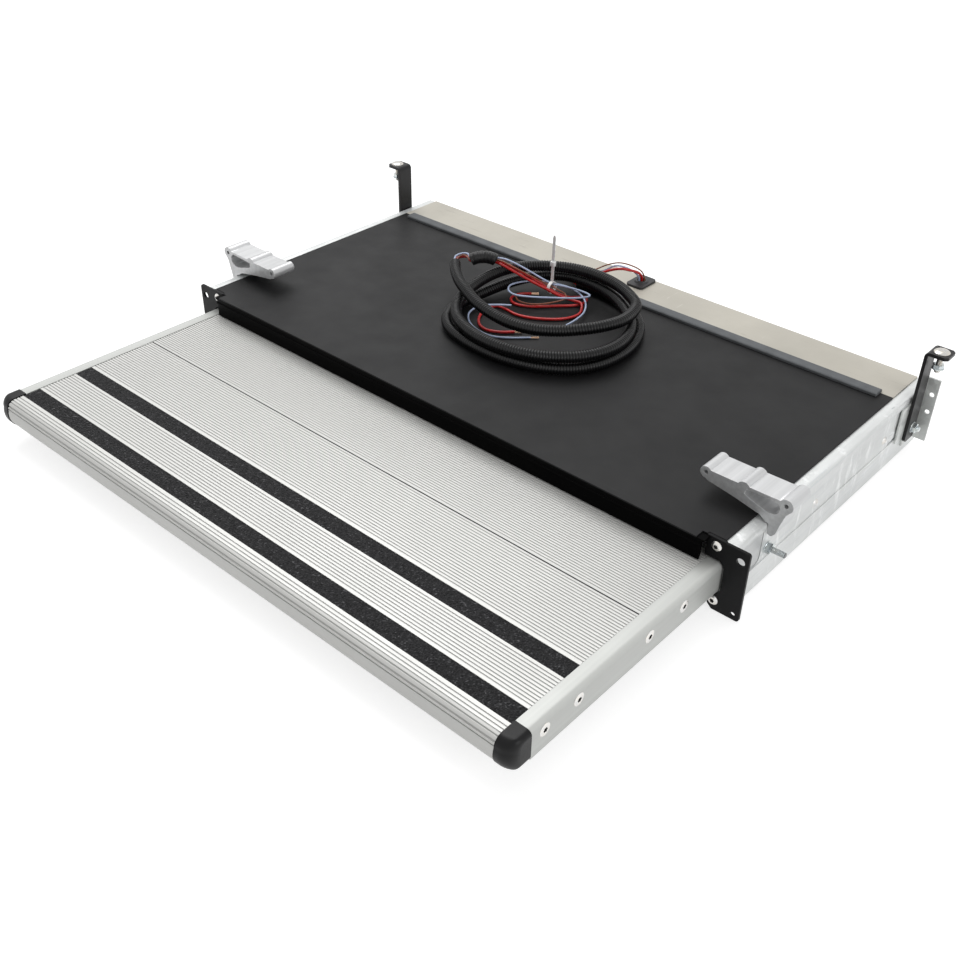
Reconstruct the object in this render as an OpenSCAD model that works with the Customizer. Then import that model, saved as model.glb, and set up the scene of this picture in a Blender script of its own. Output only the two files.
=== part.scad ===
// Slide-out entrance step for a caravan: a flat cassette with an extruded
// aluminium tread that a lead screw drives out of it, shown with the step out.
// Frame: X across, +X right seen from the entrance, +Y into the vehicle, +Z up.
// The origin lies midway between the two upper fixing holes, on the front face
// of the fixing plates. Lengths are in millimetres.

/* [Step] */
// Width of the step over its two side rails
step_w = 700; // [560:5:800]
// Height of a side rail and of the step's nose
rail_h = 30; // [29.5:0.5:34]
// Width of a side rail
rail_w = 15.7; // [14:0.1:18]
// Wall of the side rails
rail_wall = 2; // [1.6:0.1:2.4]
// Thickness of the tread profiles
deck_t = 15; // [14:0.1:15.4]
// Wall of the tread profiles
deck_wall = 2.2; // [1.8:0.1:2.6]
// Depth of the front tread profile, from the nose to the seam
front_deck_d = 179.2; // [170:0.5:190]
// Pitch of the ribs on the tread
rib_pitch = 3; // [2.6:0.1:3.4]
// Depth of the grooves between the ribs
groove_d = 0.8; // [0.5:0.1:1]
// Radius of the nose's upper corner
nose_r = 9; // [8:0.5:11]
// Gap between the two tread profiles
seam_gap = 0.4; // [0.2:0.1:0.8]

/* [Grip strips] */
// Width of a grip strip
grip_w = 19.3; // [16:0.1:21]
// Thickness of a grip strip
grip_t = 1; // [0.8:0.1:1.2]
// Distance from the nose to the front edge of the first strip
grip_s1 = 20; // [19:0.5:23]
// Distance from the nose to the front edge of the second strip
grip_s2 = 81.7; // [76:0.1:90]

/* [Cassette] */
// Drop from the upper fixing holes to the top of the tread
tread_drop = 10.7; // [9:0.1:12]
// Height of the cover's top above the tread
cover_rise = 23.9; // [22:0.1:27]
// Thickness of the cover sheet
cover_t = 1.5; // [1:0.1:2]
// Depth of the cassette behind the front of its fixing plates
case_d = 378.5; // [360:0.5:420]
// Depth of the rear panel's top
rear_d = 58.2; // [52:0.1:66]
// Space from a side rail to the outer face of the side channel
side_gap = 12; // [11:0.1:14]
// Height of the side channels
channel_h = 70.4; // [68:0.1:76]
// Thickness of a side channel's web
web_t = 2.5; // [2:0.1:3]
// Thickness of a side channel's flanges
flange_t = 2; // [1.6:0.1:2.4]
// Width of the channel's top that stays in view beside the cover
flange_show = 13.4; // [10:0.1:16]
// How far the cover reaches in front of the fixing plates
lip_y = 9.7; // [7:0.1:12]
// How far the nose stays out when the step is in
closed_nose = 24.7; // [22:0.1:30]
// Length of side rail that stays in the cassette when the step is out
carry_len = 110; // [100:1:125]

/* [Fixing plates] */
// Thickness of the fixing plates
plate_t = 3; // [2:0.1:4]
// How far a fixing plate stands out beside its channel
plate_ear = 12; // [10:0.1:16]
// Distance from a fixing hole to the plate's outer edge
hole_edge = 8; // [6:0.1:9]
// Distance between the upper and the lower fixing holes
hole_drop = 57.7; // [54:0.1:60]
// Radius of the upper fixing holes
hole_r_up = 4.2; // [3.6:0.1:4.6]
// Radius of the lower fixing holes
hole_r_low = 2.5; // [2:0.1:3]

/* [Hangers and clamps] */
// Width of a hanger strap
strap_w = 22; // [20:0.5:25]
// Thickness of a hanger strap
strap_t = 3.5; // [3:0.1:4]
// Height of the strap's top above the cover
strap_rise = 54.1; // [45:0.1:70]
// Length of the strap's turned-out top
strap_arm = 23; // [22:0.5:28]
// Length of the clamp brackets, along the channel
clamp_len = 30; // [24:0.5:36]
// Distance from the plates to the right clamp bracket
clamp_y_right = 48.7; // [40:0.1:90]
// Distance from the plates to the left clamp bracket
clamp_y_left = 45; // [40:0.1:90]
// Radius of the screw ports in the clamp brackets
port_r = 2.1; // [1.8:0.1:2.4]

/* [Drive] */
// Radius of the lead screw
screw_r = 5; // [4.5:0.1:5.5]
// Running clearance of the screw in its nut and bearings
run_gap = 0.05; // [0.03:0.01:0.08]
// Clearance between the lead screw and the underside of the tread
screw_under = 0.8; // [0.6:0.1:1]
// Clearance of sliding faces
slide_gap = 0.3; // [0.25:0.05:0.4]

/* [Harness] */
// Outer diameter of the ribbed conduit
hose_d = 13; // [10:0.5:13]

/* [Hidden] */

$fn = 48;
overcut = 1;

// Widths
rail_x = step_w / 2;
deck_x = rail_x - rail_w;
case_x = rail_x + side_gap;
web_x = case_x - web_t;
cover_x = case_x - flange_show;
plate_x = case_x + plate_ear;
hole_x = plate_x - hole_edge;

// Heights
tread_z = -tread_drop;
rail_z = tread_z - rail_h;
deck_z = tread_z - deck_t;
cover_z = tread_z + cover_rise;
case_z1 = cover_z - cover_t;
case_z0 = case_z1 - channel_h;
screw_z = deck_z - screw_under - screw_r;
track_z = tread_z - rail_h / 2;

// Depths, with the step out
joint_y = case_d - rear_d;
rear_wall_t = 1.5;
rear_clear = 12;
travel = case_d - rear_wall_t - rear_clear - carry_len;
nose_y = -(travel + closed_nose);
seam_y = nose_y + front_deck_d;
block_len = 40;
block_y1 = carry_len - 3;
block_y0 = block_y1 - block_len;
guide_y0 = plate_t + 1;
guide_y1 = block_y0 - 1;
stud_y = guide_y1 - 8.5;
stud_z = track_z + 6.4;

// Drive train, from the rear towards the front
gear_y0 = joint_y + 1.2;
gear_len = 40;
nut_flange_t = 6;
nut_stop_gap = 3;
cross_d = 12;
nut_y1 = gear_y0 - nut_stop_gap - travel;
cross_y1 = nut_y1 - nut_flange_t;
cross_y0 = cross_y1 - cross_d;
deck_y1 = cross_y0 - slide_gap;
bear_len = 20;
bear_y1 = cross_y0 - 8;
bear_y0 = bear_y1 - bear_len;
tie_y0 = bear_y0 - 6;
tie_y1 = bear_y1 + 6;
journal_r = screw_r - 2;

// Draws a right-hand piece, or its mirror image on the left
module on_side(side) {
  if (side < 0) mirror([1, 0, 0]) children();
  else children();
}

// Draws a piece on both sides
module both_sides() {
  on_side(1) children();
  on_side(-1) children();
}

// Extrudes a YZ profile along X, centred
module along_x(width) {
  rotate([90, 0, 90]) translate([0, 0, -width / 2]) linear_extrude(width) children();
}

// Extrudes an XZ profile along Y, from y0 to y1
module along_y(y0, y1) {
  translate([0, y1, 0]) rotate([90, 0, 0]) linear_extrude(y1 - y0) children();
}

// Cylinder along X from x0 to x1
module rod_x(x0, x1, y, z, r) {
  translate([x0, y, z]) rotate([0, 90, 0]) cylinder(h = x1 - x0, r = r);
}

// Cylinder along Y from y0 to y1
module rod_y(x, y0, y1, z, r) {
  translate([x, y1, z]) rotate([90, 0, 0]) cylinder(h = y1 - y0, r = r);
}

// Block between two corners
module block(low, high) {
  translate(low) cube(high - low);
}

// Plane rectangle between two corners
module plate_2d(low, high) {
  translate(low) square(high - low);
}

// Points of an arc, from angle a0 to a1
function arc(c, r, a0, a1, n) =
  [for (i = [0:n]) let (a = a0 + (a1 - a0) * i / n) [c[0] + r * cos(a), c[1] + r * sin(a)]];

// Tread profiles. A profile is drawn over s, the distance behind the nose, and
// z, measured down from the tread's top.
groove_w = rib_pitch * 0.4;
rail_screw_s = [39.8, 80.6, front_deck_d - 5.7, front_deck_d + 43.8];
screw_port_z = -(deck_t - 4.5);
rail_screw_r = 2.2;
screw_fit = 0.2;
port_boss_r = 4.4;
end_port = port_boss_r + deck_wall * 0.75;
front_edge_r = 18;
strip_ridge = 2.5;

// Ribs on the flat from s1 back to s0, as points of an outline
function ribs(s1, s0) =
  let (n = floor((s1 - s0) / rib_pitch), slack = (s1 - s0 - n * rib_pitch + groove_w) / 2)
  n < 1 ? [] :
  [for (i = [n - 1:-1:0]) let (s = s0 + slack + i * rib_pitch + rib_pitch - groove_w)
    each [[s, 0], [s - groove_w * 0.25, -groove_d], [s - groove_w * 0.75, -groove_d],
          [s - groove_w, 0]]];

// Ribs round the nose's upper corner
nose_ribs = 5;
function nose_corner() =
  [for (i = [0:nose_ribs - 1]) let (a = 96 + i * 14, w = 5)
    each [nose_point(a, 0), nose_point(a + 9, 0), nose_point(a + 9, groove_d),
          nose_point(a + 9 + w - 1, groove_d)]];
function nose_point(a, depth) =
  [nose_r + 1 + (nose_r - depth) * cos(a), -nose_r + (nose_r - depth) * sin(a)];

// Front face of the nose, bulging a little, down to its lower edge
front_edge_z = -rail_h * 0.53;
function nose_front() =
  [for (p = arc([front_edge_r, front_edge_z], front_edge_r, 156, 232, 12))
    if (p[1] > -rail_h + 0.4 && p[1] < -nose_r * 0.98) p];
nose_foot_s = front_edge_r - sqrt(pow(front_edge_r, 2) - pow(rail_h + front_edge_z, 2));

function grip_recess(s) = [[s + grip_w, 0], [s + grip_w, -grip_t], [s, -grip_t], [s, 0]];

// Hollow chambers under a stretch of tread, with a web between neighbours
module chambers(s0, s1, count) {
  web = deck_wall * 0.8;
  step = (s1 - s0 + web) / count;
  floor_t = deck_wall * 0.75;
  roof = max(deck_wall, grip_t + 1);
  for (i = [0:count - 1])
    plate_2d([s0 + i * step, -deck_t + floor_t], [s0 + (i + 1) * step - web, -roof]);
}

module screw_port(s) {
  translate([s, screw_port_z]) circle(port_boss_r);
}

module screw_port_bore(s) {
  translate([s, screw_port_z]) circle(rail_screw_r + screw_fit);
}

nose_back_s = 24;
module front_profile_2d() {
  s_end = front_deck_d - seam_gap / 2;
  difference() {
    union() {
      difference() {
        polygon(concat(
          [[s_end, -deck_t], [s_end, 0]],
          ribs(s_end - 1, grip_s2 + grip_w + strip_ridge),
          grip_recess(grip_s2),
          ribs(grip_s2 - strip_ridge, grip_s1 + grip_w + strip_ridge),
          grip_recess(grip_s1),
          ribs(grip_s1 - strip_ridge, nose_r + 1),
          nose_corner(), nose_front(),
          [[nose_foot_s, -rail_h], [nose_back_s, -rail_h], [nose_back_s, -deck_t]]));
        chambers(nose_back_s + deck_wall, s_end - deck_wall, 6);
        polygon(concat(
          [[nose_back_s - deck_wall, -rail_h + deck_wall], [nose_back_s - deck_wall, -grip_t - 2]],
          arc([nose_r + 4, -nose_r - 3], nose_r - 0.5, 90, 180, 6),
          [[nose_foot_s + deck_wall + 1, -rail_h + deck_wall]]));
      }
      for (i = [0:2]) screw_port(rail_screw_s[i]);
    }
    for (i = [0:2]) screw_port_bore(rail_screw_s[i]);
  }
}

module rear_profile_2d() {
  s0 = front_deck_d + seam_gap / 2;
  s1 = deck_y1 - nose_y;
  difference() {
    union() {
      difference() {
        polygon(concat([[s0, -deck_t], [s1, -deck_t], [s1, 0]], ribs(s1 - 1, s0 + 1), [[s0, 0]]));
        chambers(s0 + deck_wall, s1 - deck_wall, 5);
      }
      screw_port(rail_screw_s[3]);
      screw_port(s1 - end_port);
    }
    screw_port_bore(rail_screw_s[3]);
    screw_port_bore(s1 - end_port);
  }
}

module on_tread() {
  translate([0, nose_y, tread_z]) children();
}

module tread_front_profile() {
  color([0.86, 0.86, 0.84]) on_tread() along_x(2 * deck_x) front_profile_2d();
}

module tread_rear_profile() {
  color([0.86, 0.86, 0.84]) on_tread() along_x(2 * deck_x) rear_profile_2d();
}

module grip_strip(s) {
  edge = 0.3;
  color([0.18, 0.18, 0.2]) on_tread()
    block([-deck_x + edge, s + edge, -grip_t], [deck_x - edge, s + grip_w - edge, 0]);
}

module grip_strip_front() { grip_strip(grip_s1); }
module grip_strip_rear() { grip_strip(grip_s2); }

// Side rail: a hollow profile with a rounded outer edge
rail_corner_r = 5;
cap_len = 24;
rail_y0 = nose_y + cap_len;
module rail_2d() {
  difference() {
    union() {
      plate_2d([deck_x, rail_z], [rail_x - rail_corner_r, tread_z]);
      plate_2d([deck_x, rail_z], [rail_x, tread_z - rail_corner_r]);
      translate([rail_x - rail_corner_r, tread_z - rail_corner_r]) circle(rail_corner_r);
    }
    plate_2d([deck_x + rail_wall, rail_z + rail_wall],
             [rail_x - rail_wall, tread_z - rail_wall * 1.6]);
  }
}

cross_screw_y = (cross_y0 + cross_y1) / 2;
rail_screw_y = concat([for (s = rail_screw_s) nose_y + s],
                      [deck_y1 - end_port, cross_screw_y]);
cross_screw_z = rail_z + 7;
function rail_screw_at(i) =
  [rail_screw_y[i], i < 5 ? tread_z + screw_port_z : cross_screw_z];

rail_head_t = 1.2;
rail_head_r = rail_screw_r * 2;
rail_head_up = 0.2;
block_screw_y = [block_y0 + 10, block_y1 - 10];
block_screw_r = 2;

module side_rail(side) {
  color([0.84, 0.84, 0.82]) on_side(side) difference() {
    along_y(rail_y0, carry_len) rail_2d();
    for (i = [0:5]) {
      rod_x(deck_x - overcut, rail_x + overcut, rail_screw_at(i)[0], rail_screw_at(i)[1],
            rail_screw_r + screw_fit);
      rod_x(rail_x - rail_head_t, rail_x + overcut, rail_screw_at(i)[0], rail_screw_at(i)[1],
            rail_head_r + screw_fit);
    }
    for (y = block_screw_y)
      rod_x(rail_x - rail_wall - overcut, rail_x + overcut, y, track_z, block_screw_r + screw_fit);
  }
}

module side_rail_left() { side_rail(-1); }
module side_rail_right() { side_rail(1); }

// Screws through the rails into the ports of the profiles
module rail_screws() {
  color([0.75, 0.75, 0.77]) both_sides() for (i = [0:5]) {
    y = rail_screw_at(i)[0];
    z = rail_screw_at(i)[1];
    difference() {
      union() {
        rod_x(deck_x - 18, rail_x - rail_head_t, y, z, rail_screw_r);
        rod_x(rail_x - rail_head_t, rail_x + rail_head_up, y, z, rail_head_r);
      }
      translate([rail_x + rail_head_up - 1.2, y, z]) rotate([0, 90, 0])
        cylinder(h = 2, r = rail_screw_r * 0.7, $fn = 6);
    }
  }
}

// Nose end caps: the nose's outline, rounded in plan, with a plug in the rail
cap_proud = 0.6;
cap_corner_r = 14;
module cap_outline_2d() {
  polygon(concat(
    [[cap_len, -rail_h - cap_proud], [cap_len, cap_proud], [nose_r + 1, cap_proud]],
    arc([nose_r + 1, -nose_r], nose_r + cap_proud, 96, 168, 8),
    [for (p = nose_front()) [p[0] - cap_proud, p[1]]],
    [[nose_foot_s, -rail_h - cap_proud]]));
}

module cap_plan_2d() {
  x1 = rail_x + cap_proud;
  y0 = nose_y - cap_proud - 0.4;
  difference() {
    plate_2d([deck_x, y0], [x1, rail_y0]);
    difference() {
      plate_2d([x1 - cap_corner_r, y0 - overcut], [x1 + overcut, y0 + cap_corner_r]);
      translate([x1 - cap_corner_r, y0 + cap_corner_r]) circle(cap_corner_r);
    }
  }
}

module end_cap(side) {
  plug_gap = 0.2;
  plug_len = 12;
  color([0.1, 0.1, 0.11]) on_side(side) union() {
    intersection() {
      on_tread() translate([rail_x - rail_w / 2, 0, 0])
        along_x(rail_w + 4) cap_outline_2d();
      translate([0, 0, rail_z - 2]) linear_extrude(rail_h + 4) cap_plan_2d();
    }
    block([deck_x + rail_wall + plug_gap, rail_y0 - overcut, rail_z + rail_wall + plug_gap],
          [rail_x - rail_wall - plug_gap, rail_y0 + plug_len,
           tread_z - rail_wall * 1.6 - plug_gap]);
  }
}

module end_cap_left() { end_cap(-1); }
module end_cap_right() { end_cap(1); }

// Cross member that ties the rails together behind the tread and holds the nut
nut_r = screw_r + 2;
nut_flange_r = nut_r + 4.5;
cross_z0 = rail_z;
cross_z1 = tread_z - 3;
cross_wall = 2;
nut_screw_x = nut_flange_r + 4;
module cross_2d() {
  difference() {
    union() {
      difference() {
        plate_2d([cross_y0, cross_z0], [cross_y1, cross_z1]);
        plate_2d([cross_y0 + cross_wall, cross_z0 + cross_wall],
                 [cross_y1 - cross_wall, cross_z1 - cross_wall]);
      }
      translate([cross_screw_y, cross_screw_z]) circle(port_boss_r);
    }
    translate([cross_screw_y, cross_screw_z]) circle(rail_screw_r + screw_fit);
  }
}

module rear_cross_member() {
  color([0.8, 0.8, 0.79]) difference() {
    along_x(2 * deck_x) cross_2d();
    rod_y(0, cross_y0 - overcut, cross_y1 + overcut, screw_z, nut_r + 0.3);
    for (x = [-nut_screw_x, nut_screw_x])
      rod_y(x, cross_y1 - cross_wall - overcut, cross_y1 + overcut, screw_z + 4, 1.7);
  }
}

// Flanged nut on the lead screw
module drive_nut() {
  color([0.9, 0.88, 0.8]) difference() {
    union() {
      rod_y(0, cross_y0 + 1, nut_y1, screw_z, nut_r);
      along_y(cross_y1, nut_y1) union() {
        plate_2d([-nut_screw_x - 4, screw_z - 2], [nut_screw_x + 4, screw_z + 8]);
        translate([0, screw_z]) circle(nut_r + 1);
      }
    }
    rod_y(0, cross_y0 - overcut, nut_y1 + overcut, screw_z, screw_r + run_gap);
    for (x = [-nut_screw_x, nut_screw_x])
      rod_y(x, cross_y1 - overcut, nut_y1 + overcut, screw_z + 4, 1.7);
  }
}

module nut_screws() {
  color([0.7, 0.7, 0.72]) for (x = [-nut_screw_x, nut_screw_x]) {
    rod_y(x, cross_y1 - cross_wall - 2, nut_y1, screw_z + 4, 1.5);
    rod_y(x, nut_y1, nut_y1 + 1.6, screw_z + 4, 2.8);
  }
}

// Slide blocks on the rails' rear ends, running in the tracks
track_t = 1.5;
track_h = 22;
track_x1 = web_x;
block_x1 = track_x1 - track_t - slide_gap;
module slide_block(side) {
  half_h = track_h / 2 - slide_gap;
  color([0.93, 0.93, 0.9]) on_side(side) difference() {
    block([rail_x, block_y0, track_z - half_h], [block_x1, block_y1, track_z + half_h]);
    for (y = block_screw_y) {
      rod_x(rail_x - overcut, block_x1 + overcut, y, track_z, block_screw_r + screw_fit);
      rod_x(block_x1 - 3.5, block_x1 + overcut, y, track_z, block_screw_r * 2.2);
    }
    block([rail_x + 3, block_y0 + 18, track_z + half_h - 1],
          [block_x1 + overcut, block_y1 - 18, track_z + half_h + overcut]);
  }
}

module slide_block_left() { slide_block(-1); }
module slide_block_right() { slide_block(1); }

module slide_block_screws() {
  color([0.7, 0.7, 0.72]) both_sides() for (y = block_screw_y) {
    rod_x(rail_x - rail_wall - 4, block_x1 - 3.5, y, track_z, block_screw_r);
    rod_x(block_x1 - 3.5, block_x1 - 1, y, track_z, block_screw_r * 2);
  }
}

// Lead screw, with a journal at each end
screw_y0 = bear_y0 + 2;
screw_y1 = gear_y0 + 18;
thread_y0 = bear_y1 + 1;
module lead_screw() {
  color([0.72, 0.73, 0.75]) union() {
    rod_y(0, screw_y0, screw_y1, screw_z, journal_r);
    rod_y(0, thread_y0, gear_y0 - 1, screw_z, screw_r);
  }
}

// Side channels: a C profile with screw ports and a set-back outer face
groove_z = case_z0 + 27.9;
recess_d = 1;
band_h = 6;
flange_in = 22;
port_up = [case_x - 20, case_z1 - 6.5];
port_low = [case_x - 15, case_z0 + 6.4];
channel_port_r = 5.2;
channel_bore_r = 1.9;
channel_corner_r = 3;
module channel_2d() {
  difference() {
    union() {
      difference() {
        union() {
          plate_2d([web_x, case_z0], [case_x, case_z1]);
          plate_2d([case_x - flange_in, case_z1 - flange_t], [case_x - 0.5, case_z1]);
        }
        translate([case_x - channel_corner_r, case_z1 - channel_corner_r]) difference() {
          square(channel_corner_r + overcut);
          circle(channel_corner_r);
        }
        plate_2d([case_x - recess_d, groove_z], [case_x + overcut, case_z1 - band_h]);
      }
      plate_2d([case_x - flange_in, case_z0], [case_x - 0.5, case_z0 + flange_t]);
      translate(port_up) circle(channel_port_r);
      translate(port_low) circle(channel_port_r);
    }
    translate(port_up) circle(channel_bore_r);
    translate(port_low) circle(channel_bore_r);
  }
}

rivet_y = [stud_y + 88.5, joint_y - 30];
rivet_r = 2.4;
rivet_fit = 0.05;
stud_r = 3;
strap_y_right = case_d - 35.2;
strap_y_left = strap_y_right - 9.5;
hanger_bolt_z = track_z + 1;
hanger_bolt_r = 3;
hanger_head_r = 6;
front_window_y = guide_y1 - 19;
rear_window = [joint_y - 22, joint_y + 12];
window_r = 8;
window_floor = 1;
slot_front = 18;
slot_back = 8;
slot_h = 2.6;

// Window in the web, from y0 to y1, with a rounded lower corner on the given end
module web_window(y0, y1, z0, z1, round_end, x0, x1) {
  corner_y = round_end > 0 ? y1 - window_r : y0 + window_r;
  difference() {
    block([x0, y0, z0], [x1, y1, z1]);
    difference() {
      block([x0 - overcut, round_end > 0 ? corner_y : y0 - overcut, z0 - overcut],
            [x1 + overcut, round_end > 0 ? y1 + overcut : corner_y, z0 + window_r]);
      rod_x(x0 - 2 * overcut, x1 + 2 * overcut, corner_y, z0 + window_r, window_r);
    }
  }
}

module side_channel(side) {
  strap_y = side > 0 ? strap_y_right : strap_y_left;
  color([0.83, 0.84, 0.83]) on_side(side) difference() {
    along_y(plate_t, case_d) channel_2d();
    web_window(plate_t - overcut, front_window_y, groove_z, case_z1 - band_h - 1, 1,
               web_x - overcut, case_x + overcut);
    web_window(rear_window[0], rear_window[1], groove_z + 10.3, case_z1 - band_h - 2, -1,
               web_x + window_floor, case_x + overcut);
    rod_x(web_x - overcut, case_x + overcut, stud_y, stud_z, stud_r + screw_fit);
    for (y = rivet_y) rod_x(web_x - overcut, case_x + overcut, y, stud_z, rivet_r + rivet_fit);
    rod_x(web_x - overcut, case_x + overcut, strap_y, hanger_bolt_z, hanger_bolt_r + screw_fit);
    block([web_x - overcut, joint_y - slot_front, groove_z],
          [case_x + overcut, joint_y + slot_back, groove_z + slot_h]);
  }
}

module side_channel_left() { side_channel(-1); }
module side_channel_right() { side_channel(1); }

// Tracks riveted to the webs, in which the slide blocks run
track_y0 = guide_y1 + 0.5;
track_y1 = case_d - rear_wall_t - 3;
track_x0 = rail_x + 1.5;
module slide_track(side) {
  color([0.78, 0.8, 0.81]) on_side(side) difference() {
    along_y(track_y0, track_y1) difference() {
      plate_2d([track_x0, track_z - track_h / 2 - track_t],
               [track_x1, track_z + track_h / 2 + track_t]);
      plate_2d([track_x0 - overcut, track_z - track_h / 2],
               [track_x1 - track_t, track_z + track_h / 2]);
    }
    for (y = rivet_y) rod_x(track_x0, track_x1 + overcut, y, stud_z, rivet_r + rivet_fit);
    rod_x(track_x0, track_x1 + overcut, side > 0 ? strap_y_right : strap_y_left, hanger_bolt_z,
          hanger_head_r + screw_fit);
  }
}

module slide_track_left() { slide_track(-1); }
module slide_track_right() { slide_track(1); }

module channel_rivets() {
  color([0.8, 0.81, 0.82]) both_sides() for (y = rivet_y) {
    rod_x(track_x1 - track_t, case_x - recess_d, y, stud_z, rivet_r);
    translate([case_x - recess_d, y, stud_z]) rotate([0, 90, 0]) rotate_extrude()
      intersection() {
        translate([0, -5.2]) circle(7);
        square([rivet_r * 2, 3]);
      }
  }
}

// Front guides: blocks that carry the rails at the cassette's mouth
module front_guide(side) {
  inner_x = deck_x + 2;
  half_h = rail_h / 2 + slide_gap;
  color([0.9, 0.9, 0.87]) on_side(side) difference() {
    union() {
      along_y(guide_y0, guide_y1) plate_2d([inner_x, track_z - half_h - 5], [web_x, track_z + half_h + 5]);
      web_window(guide_y0, front_window_y - 0.5, groove_z + 0.5, case_z1 - band_h - 1.5, 1,
                 web_x - overcut, case_x - recess_d - 0.6);
    }
    along_y(guide_y0 - overcut, guide_y1 + overcut)
      plate_2d([inner_x - overcut, track_z - half_h], [rail_x + 0.4, track_z + half_h]);
    rod_x(rail_x, web_x + overcut, stud_y, stud_z, stud_r + screw_fit);
    rod_x(rail_x, rail_x + 4.6, stud_y, stud_z, stud_r * 2 + screw_fit);
    for (z = [track_z - half_h - 6, track_z + half_h + 4])
      block([inner_x - overcut, guide_y0 + 14, z], [rail_x, guide_y1 - 14, z + 2]);
  }
}

module front_guide_left() { front_guide(-1); }
module front_guide_right() { front_guide(1); }

stud_end = 18;
module guide_studs() {
  color([0.75, 0.77, 0.8]) both_sides() {
    rod_x(rail_x + 0.9, rail_x + 4.6, stud_y, stud_z, stud_r * 2);
    rod_x(rail_x + 4.6, case_x + stud_end, stud_y, stud_z, stud_r);
  }
}

// Hexagonal nut with a washer, its axis along X, seated at x
module nut_on_x(x, y, z, r, across, height) {
  washer_t = 1.2;
  translate([x, y, z]) rotate([0, 90, 0]) difference() {
    union() {
      cylinder(h = washer_t, r = across * 0.62);
      translate([0, 0, washer_t]) cylinder(h = height, r = across / sqrt(3), $fn = 6);
    }
    translate([0, 0, -overcut]) cylinder(h = height + 4, r = r + 0.02);
  }
}

module guide_nuts() {
  color([0.62, 0.66, 0.68]) both_sides()
    nut_on_x(case_x - recess_d, stud_y, stud_z, stud_r, 10, 5);
}

// Cover sheet over the cassette. Its front corners step back behind the fixing
// plates, which leaves a notch beside each plate.
lip_x = deck_x - 3;
notch_x = lip_x - 4.8;
notch_y = 0.8;
module top_cover() {
  color([0.2, 0.2, 0.21]) difference() {
    block([-cover_x, -lip_y, case_z1], [cover_x, joint_y, cover_z]);
    both_sides() {
      block([notch_x, -lip_y - overcut, case_z1 - overcut],
            [cover_x + overcut, notch_y, cover_z + overcut]);
      block([lip_x, -lip_y - overcut, case_z1 - overcut],
            [cover_x + overcut, plate_t + 0.3, cover_z + overcut]);
    }
  }
}

// Front lip: a moulded strip under the cover's front edge, down to the tread
ridge_z = cover_z - 7.6;
wiper_gap = 0.5;
lip_wall = 2.2;
module front_lip() {
  bottom = tread_z + wiper_gap;
  color([0.07, 0.07, 0.08]) union() {
    along_x(2 * lip_x) polygon([
      [-lip_y + 0.4, case_z1], [-lip_y + 0.4, ridge_z + 1.2], [-lip_y - 0.5, ridge_z + 0.7],
      [-lip_y - 0.5, ridge_z - 0.7], [-lip_y + 1, ridge_z - 1.2], [-lip_y + 1, bottom + 4],
      [-lip_y + 0.2, bottom], [-lip_y + 1.6, bottom], [-lip_y + 1 + lip_wall, bottom + 5],
      [-lip_y + 1 + lip_wall, case_z1 - 2], [plate_t + 16, case_z1 - 2], [plate_t + 16, case_z1]]);
    both_sides() block([notch_x + 0.3, -lip_y + 0.6, case_z1 - 2], [lip_x + 2.7, -0.3, case_z1 + 0.3]);
  }
}

// Rear panel: top, rear wall and the slot for the cable
grommet_x = 7.5;
grommet_y = case_d - 17.5;
grommet_hole_r = 7;
module rear_panel() {
  color([0.74, 0.72, 0.67]) difference() {
    union() {
      block([-cover_x, joint_y, case_z1], [cover_x, case_d, cover_z]);
      block([-web_x + 0.3, case_d - rear_wall_t, case_z0 + flange_t + 0.3],
            [web_x - 0.3, case_d, case_z1 - flange_t - 0.3]);
      block([-(case_x - flange_in) + 0.5, case_d - rear_wall_t, case_z0],
            [case_x - flange_in - 0.5, case_d, case_z1 + 0.1]);
    }
    translate([grommet_x, grommet_y, case_z1 - overcut])
      cylinder(h = cover_t + 2 * overcut, r = grommet_hole_r);
    both_sides() for (p = [port_up, port_low])
      rod_y(p[0], case_d - rear_wall_t - overcut, case_d + overcut, p[1], channel_port_r + 0.4);
  }
}

// Rubber seal strip over the joint of cover and rear panel
module seal_strip() {
  strip_in = 13.5;
  strip_h = 4;
  y0 = joint_y - 11.5;
  y1 = joint_y + 2.5;
  color([0.26, 0.28, 0.29]) along_x(2 * (cover_x - strip_in)) polygon([
    [y0, cover_z], [y1, cover_z], [y1, cover_z + strip_h - 1], [y1 - 1.5, cover_z + strip_h],
    [y0 + 1.5, cover_z + strip_h], [y0, cover_z + strip_h - 1]]);
}

// Fixing plates, shaped round the mouth of the cassette
mouth_gap = 1.8;
plate_screw_r = 2;
plate_bottom = case_z0 - 4.5;
ear_top = case_z1 + 0.3;
low_hole_out = 1.2;
module front_plate_2d() {
  mouth_x = rail_x + mouth_gap;
  mouth_r = 5;
  low_x = deck_x + 7;
  top = cover_z - 0.4;
  difference() {
    offset_corners(3) polygon([
      [lip_x + 0.3, tread_z + mouth_gap], [lip_x + 0.3, top], [cover_x + 1, top],
      [cover_x + 2, ear_top], [plate_x, ear_top],
      [plate_x, plate_bottom], [low_x + 5, plate_bottom], [low_x, plate_bottom + 4.5],
      [low_x, rail_z - 6], [low_x + 2, rail_z - 4.4], [mouth_x - 3, rail_z - 4.4],
      [mouth_x, rail_z + 1], [mouth_x, tread_z - mouth_r], [mouth_x - 1.5, tread_z - 1.5],
      [mouth_x - mouth_r, tread_z + mouth_gap]]);
    translate([hole_x, 0]) circle(hole_r_up);
    translate([hole_x + low_hole_out, -hole_drop]) circle(hole_r_low);
    translate(port_up) circle(plate_screw_r + screw_fit);
    translate(port_low) circle(plate_screw_r + screw_fit);
  }
}

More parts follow.
